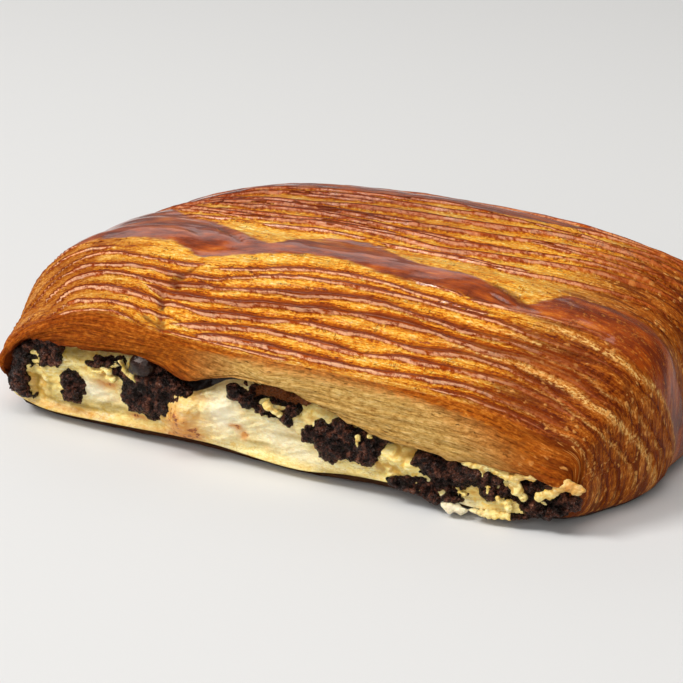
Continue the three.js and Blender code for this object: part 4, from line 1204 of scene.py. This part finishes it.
# Each chocolate mass keeps its solid and gets lumps at its front face: x, z, radius along x
# and z, and for some how far forward and how deep. They all reach a little out of the cream.
chocolate = {
    "voxel": 0.3, "lumpDepth": 1.5, "face": 39.8,
    # the relief lies further from mid width than this
    "shownFrom": 34,
    # waves of the surface: height, size, seed
    "waves": [(0.5, 4.6, 76), (0.4, 2.0, 76), (0.12, 0.5, 74)],
    # crumbs: height, size, darkness of the painted shade in the hollows between them
    "crumbs": [(1.0, 2.4, 1.0), (0.7, 1.1, 1.1), (0.35, 0.55, 0.8)],
    # the chip is smoother: voxel, shares of the waves and of the crumbs
    "chip": (0.2, 0.3, 0.08),
    # colours from dark to light, the darkest for the painted shade in the hollows: position and red, green,
    # blue; roughness; depth of grain in mm
    "crumbled": ([(0.1, (8, 3, 2)), (0.36, (40, 17, 11)), (0.6, (92, 50, 35)),
                  (0.82, (146, 92, 68)), (0.97, (206, 152, 122))], 0.27, 1.3),
    "smooth": ([(0.1, (6, 2, 2)), (0.36, (14, 6, 4)), (0.6, (24, 11, 8)),
                (0.82, (38, 20, 15)), (0.97, (58, 34, 26))], 0.17, 0.12),
    "lumps": {
        "chocolate_lining_left": [
            (-57.4, 12.6, 2.2, 1.9), (-54.8, 15.4, 2.3, 1.5), (-51.8, 17, 2.2, 1.5), (-49, 17.6, 1.6, 1.2),
            (-58.8, 9.6, 2.4, 2.6), (-58, 6.6, 1.7, 1.6), (-56.2, 13.3, 2.2, 1.9, 1, 1.5),
            (-57.2, 10.8, 1.6, 1.8, 0.6, 1.5), (-57.2, 8.2, 1.3, 1.5)],
        "chocolate_shard_left": [
            (-46.9, 6.9, 1.6, 1.3), (-44.5, 7, 1.7, 1.5), (-46, 9.8, 1, 2.5), (-45.3, 8.5, 1.3, 1.3),
            (-43.6, 8.1, 0.8, 0.9)],
        "chocolate_chunk_left": [
            (-39.4, 14.7, 1.8, 0.6), (-37.2, 15.5, 1.8, 0.9), (-35.2, 15.8, 2, 1.3), (-33, 16.4, 1.6, 1.4),
            (-33.6, 13.7, 1.6, 1.3), (-30.6, 11.8, 1.7, 1.9), (-28.6, 8.6, 2.6, 2.6),
            (-26.4, 13.6, 1.8, 1.2), (-22.6, 12.8, 2.2, 1.9), (-19.4, 14, 1.9, 1.3), (-25.4, 7, 2.2, 1.7),
            (-22.6, 9.6, 2.2, 2), (-24.6, 16.4, 2.2, 1.6)],
        "chocolate_pocket": [
            (-6.4, 15, 2, 1.6), (-3.8, 14, 2, 1.5), (-0.8, 12.6, 1.7, 1.2), (1.4, 12, 1.6, 0.9),
            (4.6, 12, 1.4, 1.1), (6, 13.8, 1.5, 1), (1, 16.5, 3.2, 1.3, -1.6, 1.6),
            (6.4, 15.9, 3, 1.1, -1.6, 1.6)],
        "chocolate_chunk_middle": [
            (9.4, 9.6, 1.7, 2.2), (12.4, 11.4, 2.4, 1.7), (16.2, 12.6, 2.4, 1.9), (20, 12, 2, 1.7),
            (23.8, 12.4, 2.2, 1.2), (26, 12.3, 0.9, 0.5), (13.4, 7, 2.6, 2), (17.4, 8.2, 2.8, 2),
            (21.4, 9.6, 2, 1.5)],
        "chocolate_chunk_right": [
            (34, 9.8, 1.9, 1.8), (37.4, 9, 2.2, 1.7), (41, 8.4, 2.2, 1.5), (36.4, 6.2, 2.6, 1.7),
            (40.4, 6.6, 2, 1.3), (43.4, 8.2, 1.5, 1.2)],
        "chocolate_seam_right": [
            (27, 4.4, 1.9, 0.9), (30.2, 3.9, 2.2, 1), (34, 3, 2.4, 1.2), (38.6, 3.4, 2.2, 0.7)],
        "chocolate_end_right": [
            (47.3, 9.4, 1.5, 1.7), (45.4, 5.6, 1.9, 1.6), (48.6, 6.4, 1.6, 1.6), (56.2, 9, 1.9, 1.3),
            (53, 4.6, 2.2, 1.9), (57, 4.9, 2.4, 1.6), (60.6, 6.2, 1.8, 1.5), (51, 2.4, 2.6, 0.9),
            (55.4, 3.6, 2.4, 1), (58.6, 4.4, 1.8, 1)],
        "chocolate_chip": [
            (-26.6, 17.4, 2.9, 2.5, 1.4, 2.4), (-28.2, 16.4, 1.6, 1.4, 1.4, 1.8)],
    },
}


def chocolatePaint(name, tones, roughness, distance):
    paint = Paint(name)
    inMm = paint.place()
    hollow, shade, dough = paint.parts(paint.attribute("hollow"))
    grains = paint.noise(paint.stretched(inMm, (0.5, 0.5, 0.5)), 4.0, 0.65)
    lumps = paint.noise(paint.stretched(inMm, (2.2, 2.2, 2.2)), 3.0, 0.6)
    crystals = paint.node("ShaderNodeTexVoronoi", None, {"Vector": inMm, "Scale": 1.8}, "Distance")
    # the hollows between the crumbs are darkened as painted shade
    mixed = (lumps * 0.4 + grains * 0.6 - 0.5) * 1.8 + 0.62 - hollow * 0.75 + (shade - 0.5) * 0.35
    tone = paint.ramp(paint.clamped(mixed), tones)
    tone = paint.blend(paint.step(dough + (lumps - 0.5) * 0.6, 0.4, 0.6), tone, srgb(134, 74, 36))
    rough = paint.clamped(roughness + (grains - 0.5) * 0.6)
    normal = paint.bump(grains * 0.9 - crystals * 0.7, distance * mm)
    return paint.finish({"Base Color": tone, "Roughness": rough, "Normal": normal,
                         "Specular IOR Level": 0.4, "Specular Tint": (1.0, 0.82, 0.74, 1.0)})


# relief of crumbled chocolate at both cuts, painted shade in its hollows, and a random shift of its tone
def crumble(points, waveShare, crumbShare):
    shown = np.abs(points[:, 1]) > chocolate["shownFrom"]
    spots = points[shown]
    depth, hollow, shade = np.zeros(len(points)), np.zeros(len(points)), np.full(len(points), 0.5)
    for height, size, seed in chocolate["waves"]:
        depth[shown] += waveShare * height * noise(spots, size, seed)
    for number, (height, size, dark) in enumerate(chocolate["crumbs"]):
        drift = 0.4 * size * joined(*(noise(spots, size, seed + number) for seed in (90, 93, 96)))
        away = cells(spots + drift, size, 77 + number)
        depth[shown] += crumbShare * height * (0.5 - away)
        hollow[shown] += crumbShare * np.clip(away - 0.42, 0, 1) * dark
    shade[shown] = 0.5 + 0.5 * noise(spots, 1.0, 99)
    return depth, hollow, shade


# one piece for each chocolate node: its solid with lumps at the front, crumbled at the cuts
def makeChocolate(crumbled, smooth):
    for name, lumps in chocolate["lumps"].items():
        isChip = name == "chocolate_chip"
        voxel, waveShare, crumbShare = chocolate["chip"] if isChip else (chocolate["voxel"], 1.0, 1.0)
        body = bmesh.new()
        body.from_mesh(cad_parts[name].data)
        bmesh.ops.remove_doubles(body, verts=body.verts, dist=0.01 * mm)
        for x, z, wide, high, *forward in lumps:
            out, deep = forward or (0, chocolate["lumpDepth"])
            addBall(body, x, -chocolate["face"] - out, z, wide, deep, high)
        points, mesh = remeshed(body, name, voxel)
        depth, hollow, shade = crumble(points, waveShare, crumbShare)
        setPlaces(mesh, points + vertexValues(mesh, "normal") * depth[:, None])
        # brown dough shows in the upper part of the pocket
        bare = ease(points[:, 0] + 3.2) * ease((points[:, 2] - 14.6) / 0.8) * (points[:, 1] < 0)
        dough = bare if name == "chocolate_pocket" else 0.0
        writeAttribute(mesh, "hollow", joined(hollow, shade, dough))
        material = smooth if isChip else crumbled
        finishPiece(name.replace("chocolate", "dark"), mesh, material, [name])


makeCream(creamPaint())
makeChocolate(chocolatePaint("chocolate", *chocolate["crumbled"]),
              chocolatePaint("chocolate_smooth", *chocolate["smooth"]))

# light and floor
studio = {
    "world": (1.0, 0.995, 0.985), "worldStrength": 0.16,
    # azimuth, elevation, distance in mm, size in m, watts
    "lamps": {"key": (-50, 50, 1800, (0.55, 0.55), 21.0), "top": (20, 78, 1900, (1.3, 1.0), 14.0),
              "front": (14, 28, 2200, (1.6, 1.2), 15.4), "rear": (-140, 34, 2500, (1.8, 1.3), 7.0)},
    "floor": srgb(217, 216, 214), "floorSize": 6.0,
}


def makeLight(name, azimuth, elevation, distance, size, watts):
    lamp = bpy.data.lights.new(name, "AREA")
    lamp.shape, lamp.size, lamp.size_y, lamp.energy = "RECTANGLE", size[0], size[1], watts
    aimed(name, lamp, azimuth, elevation, distance)


def makeStudio():
    world = bpy.data.worlds.new("studio")
    world.use_nodes = True
    backdrop = world.node_tree.nodes["Background"]
    backdrop.inputs["Color"].default_value = (*studio["world"], 1)
    backdrop.inputs["Strength"].default_value = studio["worldStrength"]
    bpy.context.scene.world = world
    for name, settings in studio["lamps"].items():
        makeLight(name, *settings)
    bpy.context.scene.view_settings.view_transform = "Standard"
    ground = bmesh.new()
    bmesh.ops.create_grid(ground, x_segments=1, y_segments=1, size=studio["floorSize"] / 2)
    mesh = bpy.data.meshes.new("floor")
    ground.to_mesh(mesh)
    ground.free()
    paint = Paint("floor")
    mesh.materials.append(paint.finish({"Base Color": studio["floor"], "Roughness": 0.9,
                                        "Specular IOR Level": 0.0}))
    floor = bpy.data.objects.new("floor", mesh)
    bpy.context.scene.collection.objects.link(floor)


makeStudio()
print("studio lit")
